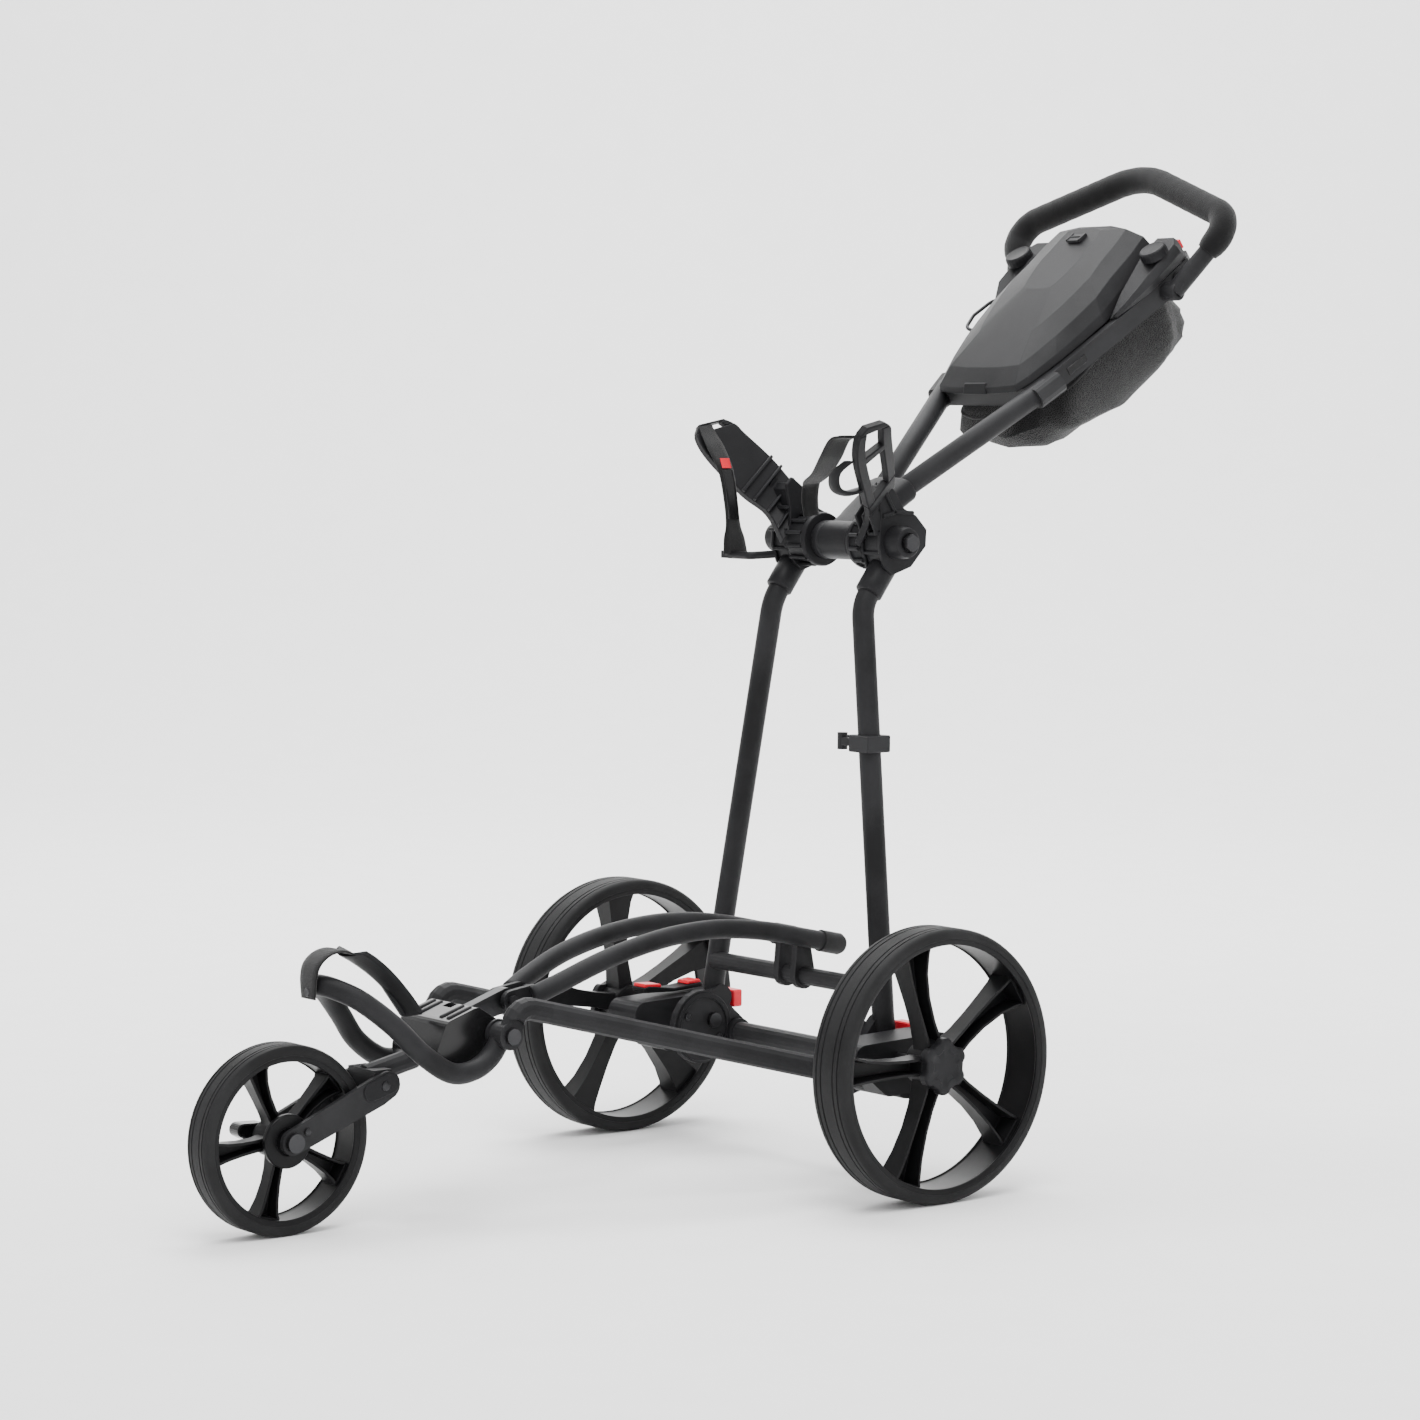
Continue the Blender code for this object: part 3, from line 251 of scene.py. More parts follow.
class Shape:
    """Vertices and faces gathered from simple solids."""

    def __init__(self):
        self.verts = []
        self.faces = []

    def loft(self, rings, caps=True):
        """Join rings of equal size; caps closes both ends."""
        start = len(self.verts)
        count = len(rings[0])
        last = start + (len(rings) - 1) * count
        for ring in rings:
            self.verts.extend(ring)
        for low in range(start, last, count):
            self.band(low, low + count, count)
        if caps:
            self.faces.append(tuple(start + i for i in reversed(range(count))))
            self.faces.append(tuple(last + i for i in range(count)))
        return self

    def band(self, low, high, count):
        """Faces between two rings, given by their first vertices."""
        for i in range(count):
            j = (i + 1) % count
            self.faces.append((low + i, low + j, high + j, high + i))

    def bar(self, points, radius, sides=28, ease=0.0):
        """A round bar along points; ease rounds its ends."""
        line = frames(points)
        rings = [circle(*place, radius, sides) for place in line]
        if ease:
            for end, near in ((0, 1), (-1, -2)):
                centre, first, second = line[end]
                out = (centre - line[near][0]).normalized() * ease
                ring = circle(centre + out, first, second, radius - ease, sides)
                rings = [ring] + rings if end == 0 else rings + [ring]
        return self.loft(rings)

    def turned(self, loop, centre, segments):
        """Turn a closed loop of (x, radius) points about a line along X through centre."""
        start = len(self.verts)
        count = len(loop)
        for t in turns(segments):
            self.verts.extend([spun(centre, x, r, t) for x, r in loop])
        for i in range(segments):
            self.band(start + i * count, start + ((i + 1) % segments) * count, count)
        return self

    def disc(self, profile, centre, segments=48):
        """Turn an open (x, radius) profile and close both of its ends."""
        return self.loft([[spun(centre, x, r, t) for t in turns(segments)] for x, r in profile])

    def prism(self, outline, x_low, x_high):
        """A plate with a (y, z) outline, square to X, in axle-line points."""
        return self.loft([[at(x, y, z) for y, z in outline] for x in (x_low, x_high)])

    def block(self, low, high, place=at):
        """A box between two corners in the given frame."""
        (a, b, c), (d, e, f) = low, high
        corners = ((a, b), (d, b), (d, e), (a, e))
        return self.loft([[place(x, y, z) for x, y in corners] for z in (c, f)])


def turns(count):
    """Equal angles round a circle."""
    return [2 * math.pi * (i + 0.5) / count for i in range(count)]


def spun(centre, x, r, t):
    """The point at x and radius r, turned by t about a line along X through centre."""
    return centre + Vector((x, r * math.sin(t), -r * math.cos(t)))


def circle(centre, first, second, radius, sides):
    """A ring of points round centre, in the plane of two square directions."""
    return [centre + (first * math.cos(t) + second * math.sin(t)) * radius for t in turns(sides)]


def squared(share, power):
    """A sine or cosine, drawn out so that its circle becomes a rounded square."""
    return math.copysign(abs(share) ** power, share)


def frames(points):
    """Two square directions at each point, carried along without twist."""
    points = [Vector(p) for p in points]
    tangents = []
    for i in range(len(points)):
        ahead = points[min(i + 1, len(points) - 1)]
        behind = points[max(i - 1, 0)]
        tangents.append((ahead - behind).normalized())
    helper = Vector((1, 0, 0)) if abs(tangents[0].x) < 0.9 else Vector((0, 0, 1))
    first = tangents[0].cross(helper).normalized()
    out = []
    for i, tangent in enumerate(tangents):
        if i:
            first = tangents[i - 1].rotation_difference(tangent) @ first
        first = (first - tangent * first.dot(tangent)).normalized()
        out.append((points[i], first, tangent.cross(first)))
    return out


def fillet(points, radius, steps=12):
    """Round every inner corner of a polyline with an arc."""
    points = [Vector(p) for p in points]
    out = [points[0]]
    for before, corner, after in zip(points, points[1:], points[2:]):
        inward = (before - corner).normalized()
        outward = (after - corner).normalized()
        half = inward.angle(outward) / 2
        reach = radius / math.tan(half)
        centre = corner + (inward + outward).normalized() * (radius / math.sin(half))
        start = corner + inward * reach - centre
        axis = start.cross(corner + outward * reach - centre).normalized()
        for step in range(steps + 1):
            turn = (math.pi - 2 * half) * step / steps
            out.append(centre + Matrix.Rotation(turn, 3, axis) @ start)
    out.append(points[-1])
    return out


def smooth(points, steps=8):
    """A Catmull-Rom curve through the points."""
    points = [Vector(p) for p in points]
    ends = [2 * points[0] - points[1]] + points + [2 * points[-1] - points[-2]]
    out = []
    for a, b, c, d in zip(ends, ends[1:], ends[2:], ends[3:]):
        for step in range(steps):
            t = step / steps
            out.append((2 * b + (c - a) * t + (2 * a - 5 * b + 4 * c - d) * t ** 2
                        + (3 * b - a - 3 * c + d) * t ** 3) / 2)
    out.append(points[-1])
    return out


def flip(points, sign):
    """Points as given for the left side, or mirrored for the right."""
    return [Vector((p[0] * sign, p[1], p[2])) for p in points]


def hull(circles, steps=14):
    """The outline around several (y, z, radius) circles."""
    dots = sorted({(y + r * math.cos(t), z + r * math.sin(t))
                   for y, z, r in circles for t in turns(steps * 3)})

    def chain(items):
        line = []
        for dot in items:
            while len(line) > 1:
                (ay, az), (by, bz) = line[-2], line[-1]
                if (by - ay) * (dot[1] - az) - (bz - az) * (dot[0] - ay) > 1e-9:
                    break
                line.pop()
            line.append(dot)
        return line[:-1]
    return chain(dots) + chain(dots[::-1])


def tube(name, points, radius, kind, body, stands_for=None, sides=28, ease=0.0015):
    """A round tube piece along points."""
    solid(name, Shape().bar(points, radius, sides, ease), kind, body, stands_for, angle=50)


# ---------------------------------------------------------------- wheels
SPOKES = 5
WHEEL_SEGMENTS = 144


def tyre_profile(radius, half, bead):
    """The (x, radius) loop of a thin tyre with four fine grooves round its tread."""
    groove, wide = 0.0013, 0.0011
    crown = [(-half, bead), (-half, radius - 0.0060), (-half * 0.97, radius - 0.0036),
             (-half * 0.90, radius - 0.0014), (-half * 0.80, radius - 0.0003)]
    for middle in (-0.64, -0.36, 0.36, 0.64):
        x = middle * half
        crown += [(x - wide, radius), (x - wide * 0.5, radius - groove),
                  (x + wide * 0.5, radius - groove), (x + wide, radius)]
    crown += [(-x, r) for x, r in crown[:5][::-1]]
    return crown + [(half * 0.94, bead - 0.0008), (-half * 0.94, bead - 0.0008)]


def channel_spoke(shape, centre, sign, angle, stations):
    """One spoke: a web with two thin raised walls round a long pocket."""
    wall, bend = 0.0030, 0.035
    rings = []
    for reach, wide, back, floor, face in stations:
        turn = angle + bend * math.sin(math.pi * reach / stations[-1][0])
        out = Vector((0, math.cos(turn), math.sin(turn)))
        across = Vector((0, -math.sin(turn), math.cos(turn))) * sign
        inner = max(wide - wall, wide * 0.45)
        outline = ((-wide, back), (wide, back), (wide, face), (inner, face), (inner - 0.0012, floor),
                   (-inner + 0.0012, floor), (-inner, face), (-wide, face))
        rings.append([centre + out * reach + across * w + Vector((x * sign, 0, 0)) for w, x in outline])
    shape.loft(rings)


def lobed(centre, sign, lobes, radius, swell, depths, turn):
    """A scalloped cap: rings of (x, scale) with swollen lobes."""
    rings = []
    for x, scale in depths:
        ring = []
        for t in turns(lobes * 14):
            r = (radius + swell * math.tanh(2.2 * math.cos(lobes * (t + turn)))) * scale
            ring.append(centre + Vector((x * sign, r * math.cos(t), r * math.sin(t) * sign)))
        rings.append(ring)
    return Shape().loft(rings)


def wheel(name, centre, radius, half, sign, turn, front=False):
    """A whole wheel: tyre, barrel and spokes, hub and cap."""
    bead = radius - 0.011
    tread = Shape().turned(tyre_profile(radius, half, bead), centre, WHEEL_SEGMENTS)
    solid(f"{name}_tread", tread, "tyre", name, f"{name}_tyre", angle=28)
    lip = 0.0052
    barrel = [(-half * 0.93, bead - 0.0062), (-half * 0.97, bead - 0.0030), (-half * 0.97, bead + 0.0004),
              (half * 0.97, bead + 0.0004), (half * 0.97, bead - 0.0030), (half * 0.93, bead - 0.0062),
              (half * 0.84, bead - 0.0066), (half * 0.78, bead - lip), (-half * 0.78, bead - lip),
              (-half * 0.84, bead - 0.0066)]
    shape = Shape().turned(barrel, centre, WHEEL_SEGMENTS)
    reach = bead - lip + 0.0022
    scale = 0.72 if front else 1.0
    deep = half * (0.62 if front else 0.60)
    stations = [(0.010 * scale, 0.0125 * scale, -deep * 0.8, deep * 0.80, deep * 0.80),
                (0.026 * scale, 0.0100 * scale, -deep * 0.8, deep * 0.80, deep * 0.82),
                (0.029 * scale, 0.0096 * scale, -deep * 0.8, -deep * 0.25, deep * 0.84),
                (reach * 0.36, 0.0090 * scale, -deep * 0.7, -deep * 0.35, deep * 0.72),
                (reach * 0.55, 0.0100 * scale, -deep * 0.7, -deep * 0.35, deep * 0.66),
                (reach * 0.75, 0.0125 * scale, -deep * 0.8, -deep * 0.40, deep * 0.74),
                (reach * 0.90, 0.0160 * scale, -deep * 0.9, -deep * 0.45, deep * 0.92),
                (reach - 0.0060, 0.0182 * scale, -deep, -deep * 0.45, deep),
                (reach - 0.0050, 0.0185 * scale, -deep, deep, deep),
                (reach, 0.0190 * scale, -deep, deep, deep)]
    for spoke in range(SPOKES):
        channel_spoke(shape, centre, sign, math.radians(turn) + 2 * math.pi * spoke / SPOKES, stations)
    solid(f"{name}_spokes", shape, "rim", name, f"{name}_rim", bevel=0.0006, angle=32)

    hub = 0.0200 if front else 0.0235
    edge = 0.0203 if front else half * 0.78
    body = [(-0.0205 * sign, hub * 0.80), (-0.0180 * sign, hub), (edge * 0.72 * sign, hub),
            (edge * 0.86 * sign, hub * 0.96)]
    solid(f"{name}_hub", Shape().disc(body, centre), "rim", name, bevel=0.0006)
    if front:
        profile = [(edge * 0.70, 0.0285), (edge * 0.93, 0.0285), (edge, 0.0272), (edge, 0.0150),
                   (edge * 0.93, 0.0140), (edge * 0.93, 0.0070), (edge, 0.0066), (edge, 0.0062)]
        solid(f"{name}_cap", Shape().disc(profile, centre), "rim", name, bevel=0.0004)
        return
    depths = [(edge * x, size) for x, size in ((0.60, 0.94), (0.62, 1.0), (1.02, 1.0), (1.10, 0.96),
                                               (1.12, 0.90), (1.12, 0.66), (1.09, 0.62), (1.09, 0.30))]
    cap = lobed(centre, sign, 6, 0.0285, 0.0026, depths, math.radians(turn))
    solid(f"{name}_cap", cap, "plastic", name, bevel=0.0005, angle=30)


def wheels():
    """The two rear wheels and the front wheel."""
    wheel("left_wheel", at(REAR_X, 0, REAR_RADIUS), REAR_RADIUS, REAR_HALF, 1, 33)
    wheel("right_wheel", at(-REAR_X, 0, REAR_RADIUS), REAR_RADIUS, REAR_HALF, -1, 23)
    wheel("front_wheel", at(0, FRONT_Y, FRONT_RADIUS), FRONT_RADIUS, FRONT_HALF, 1, 40, front=True)


# ---------------------------------------------------------------- tubes of the frame
def upright_line():
    """Centre line of the left upright."""
    return fillet([at(0.1505, 0.0445, 0.1500), at(0.1505, 0.0400, 0.1880), at(0.079, 0.0665, 0.6380),
                   at(0.079, 0.0995, 0.6820)], 0.05)


def rod_line():
    """Centre line of the left arched rod."""
    return smooth([at(0.0225, -0.346, 0.2255), at(0.0300, -0.318, 0.2375), at(0.0375, -0.267, 0.2575),
                   at(0.0400, -0.210, 0.2720), at(0.0400, -0.155, 0.2795), at(0.0400, -0.100, 0.2803),
                   at(0.0400, -0.040, 0.2735), at(0.0400, 0.015, 0.2620), at(0.0400, 0.056, 0.2530)], 6)


def frame_tubes():
    """Round tubes with smooth bends, and the rubber ends of the rods."""
    for label, sign in SIDES:
        tube(f"upright_tube_{label}", flip(upright_line(), sign), TUBE, "frame", "uprights",
             f"upright_{label}")
        line = rod_line()
        tube(f"arched_rod_{label}", flip(line, sign), ROD, "frame", "rods", f"fold_rod_{label}")
        along = (line[-1] - line[-2]).normalized()
        cap = [line[-1] + along * d for d in (-0.016, -0.0155, 0.012, 0.0165, 0.0175)]
        radii = (0.0112, 0.0124, 0.0124, 0.0100, 0.0040)
        rings = [circle(*place, radius, 28) for place, radius in zip(frames(flip(cap, sign)), radii)]
        solid(f"rod_end_{label}", Shape().loft(rings), "tyre", "rods")
        path = [on_handle(0.0136, 0.0860, 0), on_handle(0.0865, 0.2960, 0)]
        tube(f"handle_stay_{label}", flip(path, sign), TUBE, "frame", "handle", f"handle_tube_{label}")
    left = [at(*point) for point in
            ((0.0600, *ARM_AXIS), (0.0610, -0.432, 0.172), (0.0630, -0.456, 0.1600),
             (0.0650, -0.486, 0.1605), (0.0620, -0.520, 0.1830), (0.0500, -0.548, 0.2140),
             (0.0320, -0.577, 0.2405), (0.0140, -0.598, 0.2530))]
    hoop = Shape().bar(smooth(left + [at(0, -0.606, 0.2560)] + flip(left[::-1], -1), 6), 0.0112, 24)
    eye = ((0.0535, 0.0128), (0.0542, 0.0138), (0.0650, 0.0138), (0.0656, 0.0128))
    for _, sign in SIDES:
        hoop.disc([(x * sign, r) for x, r in eye], at(0, *ARM_AXIS), 32)
    solid("nose_hoop", hoop, "frame", "front_arm", "bag_hoop", angle=50)
    washer = Shape().disc([(0.0500, 0.0150), (0.0508, 0.0160), (0.0545, 0.0160)], at(0, *ARM_AXIS), 32)
    solid("arm_washer", washer, "plastic", "front_arm")


# ---------------------------------------------------------------- top hub and bag cradles
def wing_edges(rows):
    """The smooth front and back edges of a curved plate, through (front, back) rows."""
    return [smooth([at(*row[side]) for row in rows], 5) for side in (0, 1)]


def wing_strip(shape, edges, thick, rows, low=0, high=1):
    """Add the part of a wing that lies between two shares of the way from front to back."""
    rings = []
    for i in rows:
        front, back = edges[0][i], edges[1][i]
        a, b = front.lerp(back, low), front.lerp(back, high)
        rings.append([a, b, b + thick, a + thick])
    shape.loft(rings)


def far_wing():
    """The right wing: broad, slotted at its tip, with stepped ribs near the hub."""
    rows = (((-0.062, 0.068, 0.706), (-0.062, 0.104, 0.756)),
            ((-0.084, 0.063, 0.738), (-0.084, 0.099, 0.773)),
            ((-0.102, 0.041, 0.760), (-0.102, 0.083, 0.800)),
            ((-0.124, 0.009, 0.800), (-0.124, 0.060, 0.829)),
            ((-0.1340, -0.002, 0.824), (-0.1330, 0.054, 0.839)),
            ((-0.1395, 0.004, 0.8385), (-0.1385, 0.040, 0.8455)))
    fronts, backs = edges = wing_edges(rows)
    thick = Vector((-0.0085, 0.002, -0.004))
    slot = len(fronts) - 4
    shape = Shape()
    wing_strip(shape, edges, thick, range(slot))
    for low, high in ((0.0, 0.20), (0.80, 1.0)):
        wing_strip(shape, edges, thick, range(slot - 1, len(fronts) - 1), low, high)
    wing_strip(shape, edges, thick, range(len(fronts) - 2, len(fronts)))
    solid("wing_right", shape, "plastic", "uprights", "bag_cradle_right", bevel=0.0022)
    ribs = Shape()
    for i, rise in ((2, 0.0060), (5, 0.0075), (8, 0.0060), (10, 0.0045)):
        a, b = fronts[i], backs[i]
        ahead, behind = fronts[i + 1].lerp(a, 0.55), backs[i + 1].lerp(b, 0.55)
        lift = thick.normalized() * -rise
        ribs.loft([[a, b, behind, ahead], [a + lift, b + lift, behind + lift, ahead + lift]])
    solid("wing_ribs_right", ribs, "plastic", "uprights", bevel=0.0012)


def near_wing():
    """The left wing: an open frame with a rounded tip, two windows and a forward lip."""
    rows = (((0.062, 0.068, 0.706), (0.062, 0.104, 0.756)),
            ((0.084, 0.063, 0.738), (0.084, 0.099, 0.773)),
            ((0.102, 0.042, 0.760), (0.102, 0.083, 0.800)),
            ((0.124, 0.010, 0.800), (0.124, 0.060, 0.829)),
            ((0.1345, 0.003, 0.826), (0.1335, 0.050, 0.842)),
            ((0.1380, 0.012, 0.8400), (0.1370, 0.038, 0.8460)))
    edges = wing_edges(rows)
    thick = Vector((0.0085, 0.002, -0.004))
    shape = Shape()
    wing_strip(shape, edges, thick, range(9))
    for low, high in ((0.0, 0.24), (0.74, 1.0)):
        wing_strip(shape, edges, thick, range(8, 22), low, high)
    wing_strip(shape, edges, thick, range(14, 16), 0.15, 0.85)
    wing_strip(shape, edges, thick, range(21, len(edges[0])))
    solid("wing_left", shape, "plastic", "uprights", "bag_cradle_left", bevel=0.0026)
    line = [at(0.106, 0.040, 0.768), at(0.100, 0.022, 0.764), at(0.099, 0.008, 0.770),
            at(0.106, 0.002, 0.786), at(0.120, 0.010, 0.800)]
    rings = []
    for centre, first, _ in frames(smooth(line, 6)):
        rings.append([centre + first * 0.0034 * math.cos(t) + Vector((1, 0, 0)) * 0.0090 * math.sin(t)
                      for t in turns(20)])
    lip = Shape().loft(rings)
    for x in (0.068, 0.080, 0.092):
        lip.prism([(0.072, 0.716), (0.100, 0.748), (0.094, 0.776), (0.062, 0.738)], x, x + 0.0030)
    solid("wing_lip_left", lip, "plastic", "uprights", bevel=0.0010, angle=45)


def cradle(label, sign, face):
    """Bracket round one upright's top: side cheeks, ribs, socket, bolt boss and hub flange."""
    outline = ((0.096, 0.671), (0.124, 0.680), (0.146, 0.703), (0.147, 0.722), (0.131, 0.738),
               (0.113, 0.746), (0.099, 0.766), (0.080, 0.779), (0.072, 0.770), (0.078, 0.740),
               (0.076, 0.700), (0.084, 0.680))
    core = [(0.109 + (y - 0.109) * 0.90, 0.716 + (z - 0.716) * 0.90) for y, z in outline]
    shape = Shape()
    for low, high, profile in ((0.0620, 0.0665, outline), (0.0660, 0.0925, core), (0.0920, 0.0960, outline)):
        shape.prism(profile, low * sign, high * sign)
    for y_low, y_high, z_low, z_high in ((0.078, 0.096, 0.742, 0.746), (0.076, 0.094, 0.716, 0.720),
                                         (0.082, 0.098, 0.694, 0.698)):
        shape.block((0.0640 * sign, y_low - 0.004, z_low), (0.0950 * sign, y_high, z_high))
    for start, end in (((0.083, 0.766), (0.098, 0.742)), ((0.098, 0.742), (0.124, 0.741)),
                       ((0.083, 0.738), (0.096, 0.741))):
        rib = hull([(*start, 0.0024), (*end, 0.0024)], 4)
        shape.prism(rib, 0.0955 * sign, 0.0982 * sign)
    solid(f"cradle_{label}", shape, "plastic", "uprights", bevel=0.0010)
    socket = [at(0.079, 0.0755, 0.6515), at(0.079, 0.0820, 0.6605), at(0.079, 0.0960, 0.6790)]
    tube(f"socket_{label}", flip(socket, sign), 0.0158, "plastic", "uprights", ease=0.0018)
    boss = [(x * sign, r) for x, r in
            ((0.0940, 0.0185), (0.1120, 0.0180), (0.1170, 0.0165), (0.1180, 0.0150), (0.1180, 0.0112),
             (0.1150, 0.0106), (0.1150, 0.0040))]
    solid(f"bolt_boss_{label}", Shape().disc(boss, at(0, *HUB)), "plastic", "uprights", bevel=0.0005)
    flange = [(face * sign, 0.0230), ((face + 0.0004) * sign, 0.0298), ((face + 0.0030) * sign, 0.0310),
              ((face + 0.0070) * sign, 0.0310), ((face + 0.0076) * sign, 0.0285), (0.0640 * sign, 0.0270)]
    solid(f"hub_flange_{label}", Shape().disc(flange, at(0, *HUB), 64), "plastic", "uprights", bevel=0.0006)
    teeth = Shape()
    for t in turns(12):
        y, z = HUB[0] + 0.0298 * math.cos(t), HUB[1] + 0.0298 * math.sin(t)
        teeth.disc([((face + 0.0072) * sign, 0.0024), (0.0636 * sign, 0.0024)], at(0, y, z), 10)
    solid(f"hub_ribs_{label}", teeth, "plastic", "uprights")


# a strap's rounded section, as shares of its half width and its thickness
RIBBON = ((-1, -0.4), (-0.94, -1), (-0.5, -1.15), (0, -1.2), (0.5, -1.15), (0.94, -1), (1, -0.4),
          (1, 0.4), (0.94, 1), (0.5, 1.15), (0, 1.2), (-0.5, 1.15), (-0.94, 1), (-1, 0.4))


def woven(name, stations, thick, kind, body, stands_for=None, steps=8):
    """A soft strap: a rounded ribbon through (centre, half width, thickness direction) stations."""
    centres = smooth([at(*s[0]) for s in stations], steps)
    widths = smooth([s[1] for s in stations], steps)
    normals = smooth([s[2] for s in stations], steps)
    rings = []
    for centre, wide, normal in zip(centres, widths, normals):
        lift = normal.normalized() * thick
        rings.append([centre + wide * a + lift * b for a, b in RIBBON])
    solid(name, Shape().loft(rings), kind, body, stands_for, angle=60)


def yoke():
    """The handle's foot: a fluted barrel on the hub that widens into a rounded socket block."""
    shape = Shape()
    barrel = [(-0.0277, 0.0208), (-0.0268, 0.0220), (-0.0180, 0.0220), (-0.0174, 0.0212), (-0.0160, 0.0212),
              (-0.0154, 0.0220), (0.0310, 0.0220), (0.0316, 0.0212), (0.0330, 0.0212), (0.0336, 0.0220),
              (0.0413, 0.0220), (0.0422, 0.0208)]
    shape.disc(barrel, at(0, *HUB), 48)
    rings = []
    for u, wide, tall in ((0.004, 0.0262, 0.0160), (0.0310, 0.0270, 0.0150), (0.0400, 0.0300, 0.0145),
                          (0.0700, 0.0310, 0.0150), (0.0960, 0.0355, 0.0160), (0.1000, 0.0345, 0.0148)):
        rings.append([on_handle(wide * squared(math.cos(t), 0.5), u, tall * squared(math.sin(t), 0.6))
                      for t in turns(40)])
    shape.loft(rings)
    solid("yoke_block", shape, "plastic", "handle", "handle_yoke", bevel=0.0006, angle=40)


def straps():
    """The hanging right strap with its plain patch, the looped left strap and the buckle bar."""
    out = (1, 0.1, 0.1)
    right = [((-0.1385, 0.013, 0.8370), (0, 0.0095, 0.001), (1, 0, -0.8)),
             ((-0.1330, 0.012, 0.8300), (0, 0.0105, 0.001), (1, 0, -0.8)),
             ((-0.1180, 0.012, 0.8120), (0, 0.0122, 0.001), (1, 0, -0.4)),
             ((-0.1040, 0.016, 0.7850), (0, 0.0110, 0), out),
             ((-0.1010, 0.021, 0.7500), (0, 0.0098, 0), out),
             ((-0.1030, 0.026, 0.7240), (0, 0.0104, 0), out),
             ((-0.1070, 0.031, 0.7080), (0, 0.0150, 0), out),
             ((-0.1080, 0.034, 0.6900), (0, 0.0175, 0), out)]
    woven("strap_right", right, 0.0012, "webbing", "uprights", "bag_strap_right")
    patch = [((-0.1018, 0.0155, 0.7870), (0, 0.0078, 0), out),
             ((-0.0991, 0.0185, 0.7660), (0, 0.0078, 0), out),
             ((-0.0988, 0.0215, 0.7470), (0, 0.0076, 0), out),
             ((-0.1001, 0.0245, 0.7300), (0, 0.0074, 0), out)]
    woven("strap_patch", patch, 0.0004, "gloss", "uprights")
    tab = [((-0.1040, 0.0135, 0.8000), (0, 0.0066, 0), (1, 0, -0.15)),
           ((-0.1010, 0.0148, 0.7890), (0, 0.0066, 0), (1, 0, -0.1))]
    woven("strap_tab", tab, 0.0005, "red", "uprights", steps=4)
    left = [((0.1240, 0.006, 0.8270), (0.004, 0.011, 0), (0, 0, 1)),
            ((0.1100, 0.004, 0.8230), (0.004, 0.012, 0), (0, 0, 1)),
            ((0.0860, 0.012, 0.8040), (0.004, 0.013, 0), (0.2, 0, 1)),
            ((0.0500, 0.029, 0.7850), (0.002, 0.013, 0), (0.2, 0, 1)),
            ((0.0180, 0.044, 0.7760), (0.001, 0.013, 0), (0.1, 0, 1)),
            ((0.0030, 0.054, 0.7720), (0, 0.013, 0.002), (-0.6, 0, 1)),
            ((-0.0030, 0.057, 0.7560), (0, 0.012, 0.002), (-1, 0, 0)),
            ((-0.0010, 0.058, 0.7360), (0, 0.011, 0.001), (-1, 0, 0))]
    woven("strap_left", left, 0.0012, "webbing", "uprights", "bag_strap_left")
    line = [at(-0.118, 0.0480, 0.689), at(-0.118, 0.0290, 0.689), at(-0.075, 0.0290, 0.689),
            at(-0.075, 0.0640, 0.690)]
    bar = Shape().bar(fillet(line, 0.006, 6), 0.0045, 20, 0.001)
    bar.block((-0.1240, 0.0250, 0.6850), (-0.1060, 0.0330, 0.6935))
    solid("buckle_bar", bar, "plastic", "uprights", "strap_bar", bevel=0.0008)


# ---------------------------------------------------------------- console
LID_LEFT = ((0.030, 0.2655), (0.066, 0.2700), (0.0750, 0.2880), (0.0865, 0.3300), (0.0925, 0.3640),
            (0.0975, 0.4080), (0.0915, 0.4500), (0.0895, 0.5000), (0.0830, 0.5380), (0.0400, 0.5480))
LID_FRONT = 0.2655
LID_LENGTH = 0.2825
TRAY_TOP = 0.0115


def lid_ring(v, scale, front, rear):
    """One level of the lid on the handle: front and rear draw its ends in, and it is lower in front."""
    half = []
    for x, u in LID_LEFT:
        share = (u - LID_FRONT) / LID_LENGTH
        half.append((x * scale, u + front * (1 - share) - rear * share))
    ring = []
    base = TRAY_TOP + 0.0006
    for x, u in half + [(-x, u) for x, u in half[::-1]]:
        rise = 0.52 + 0.48 * (u - LID_FRONT) / LID_LENGTH
        ring.append(on_handle(x, u, base + (v - base) * rise))
    return ring


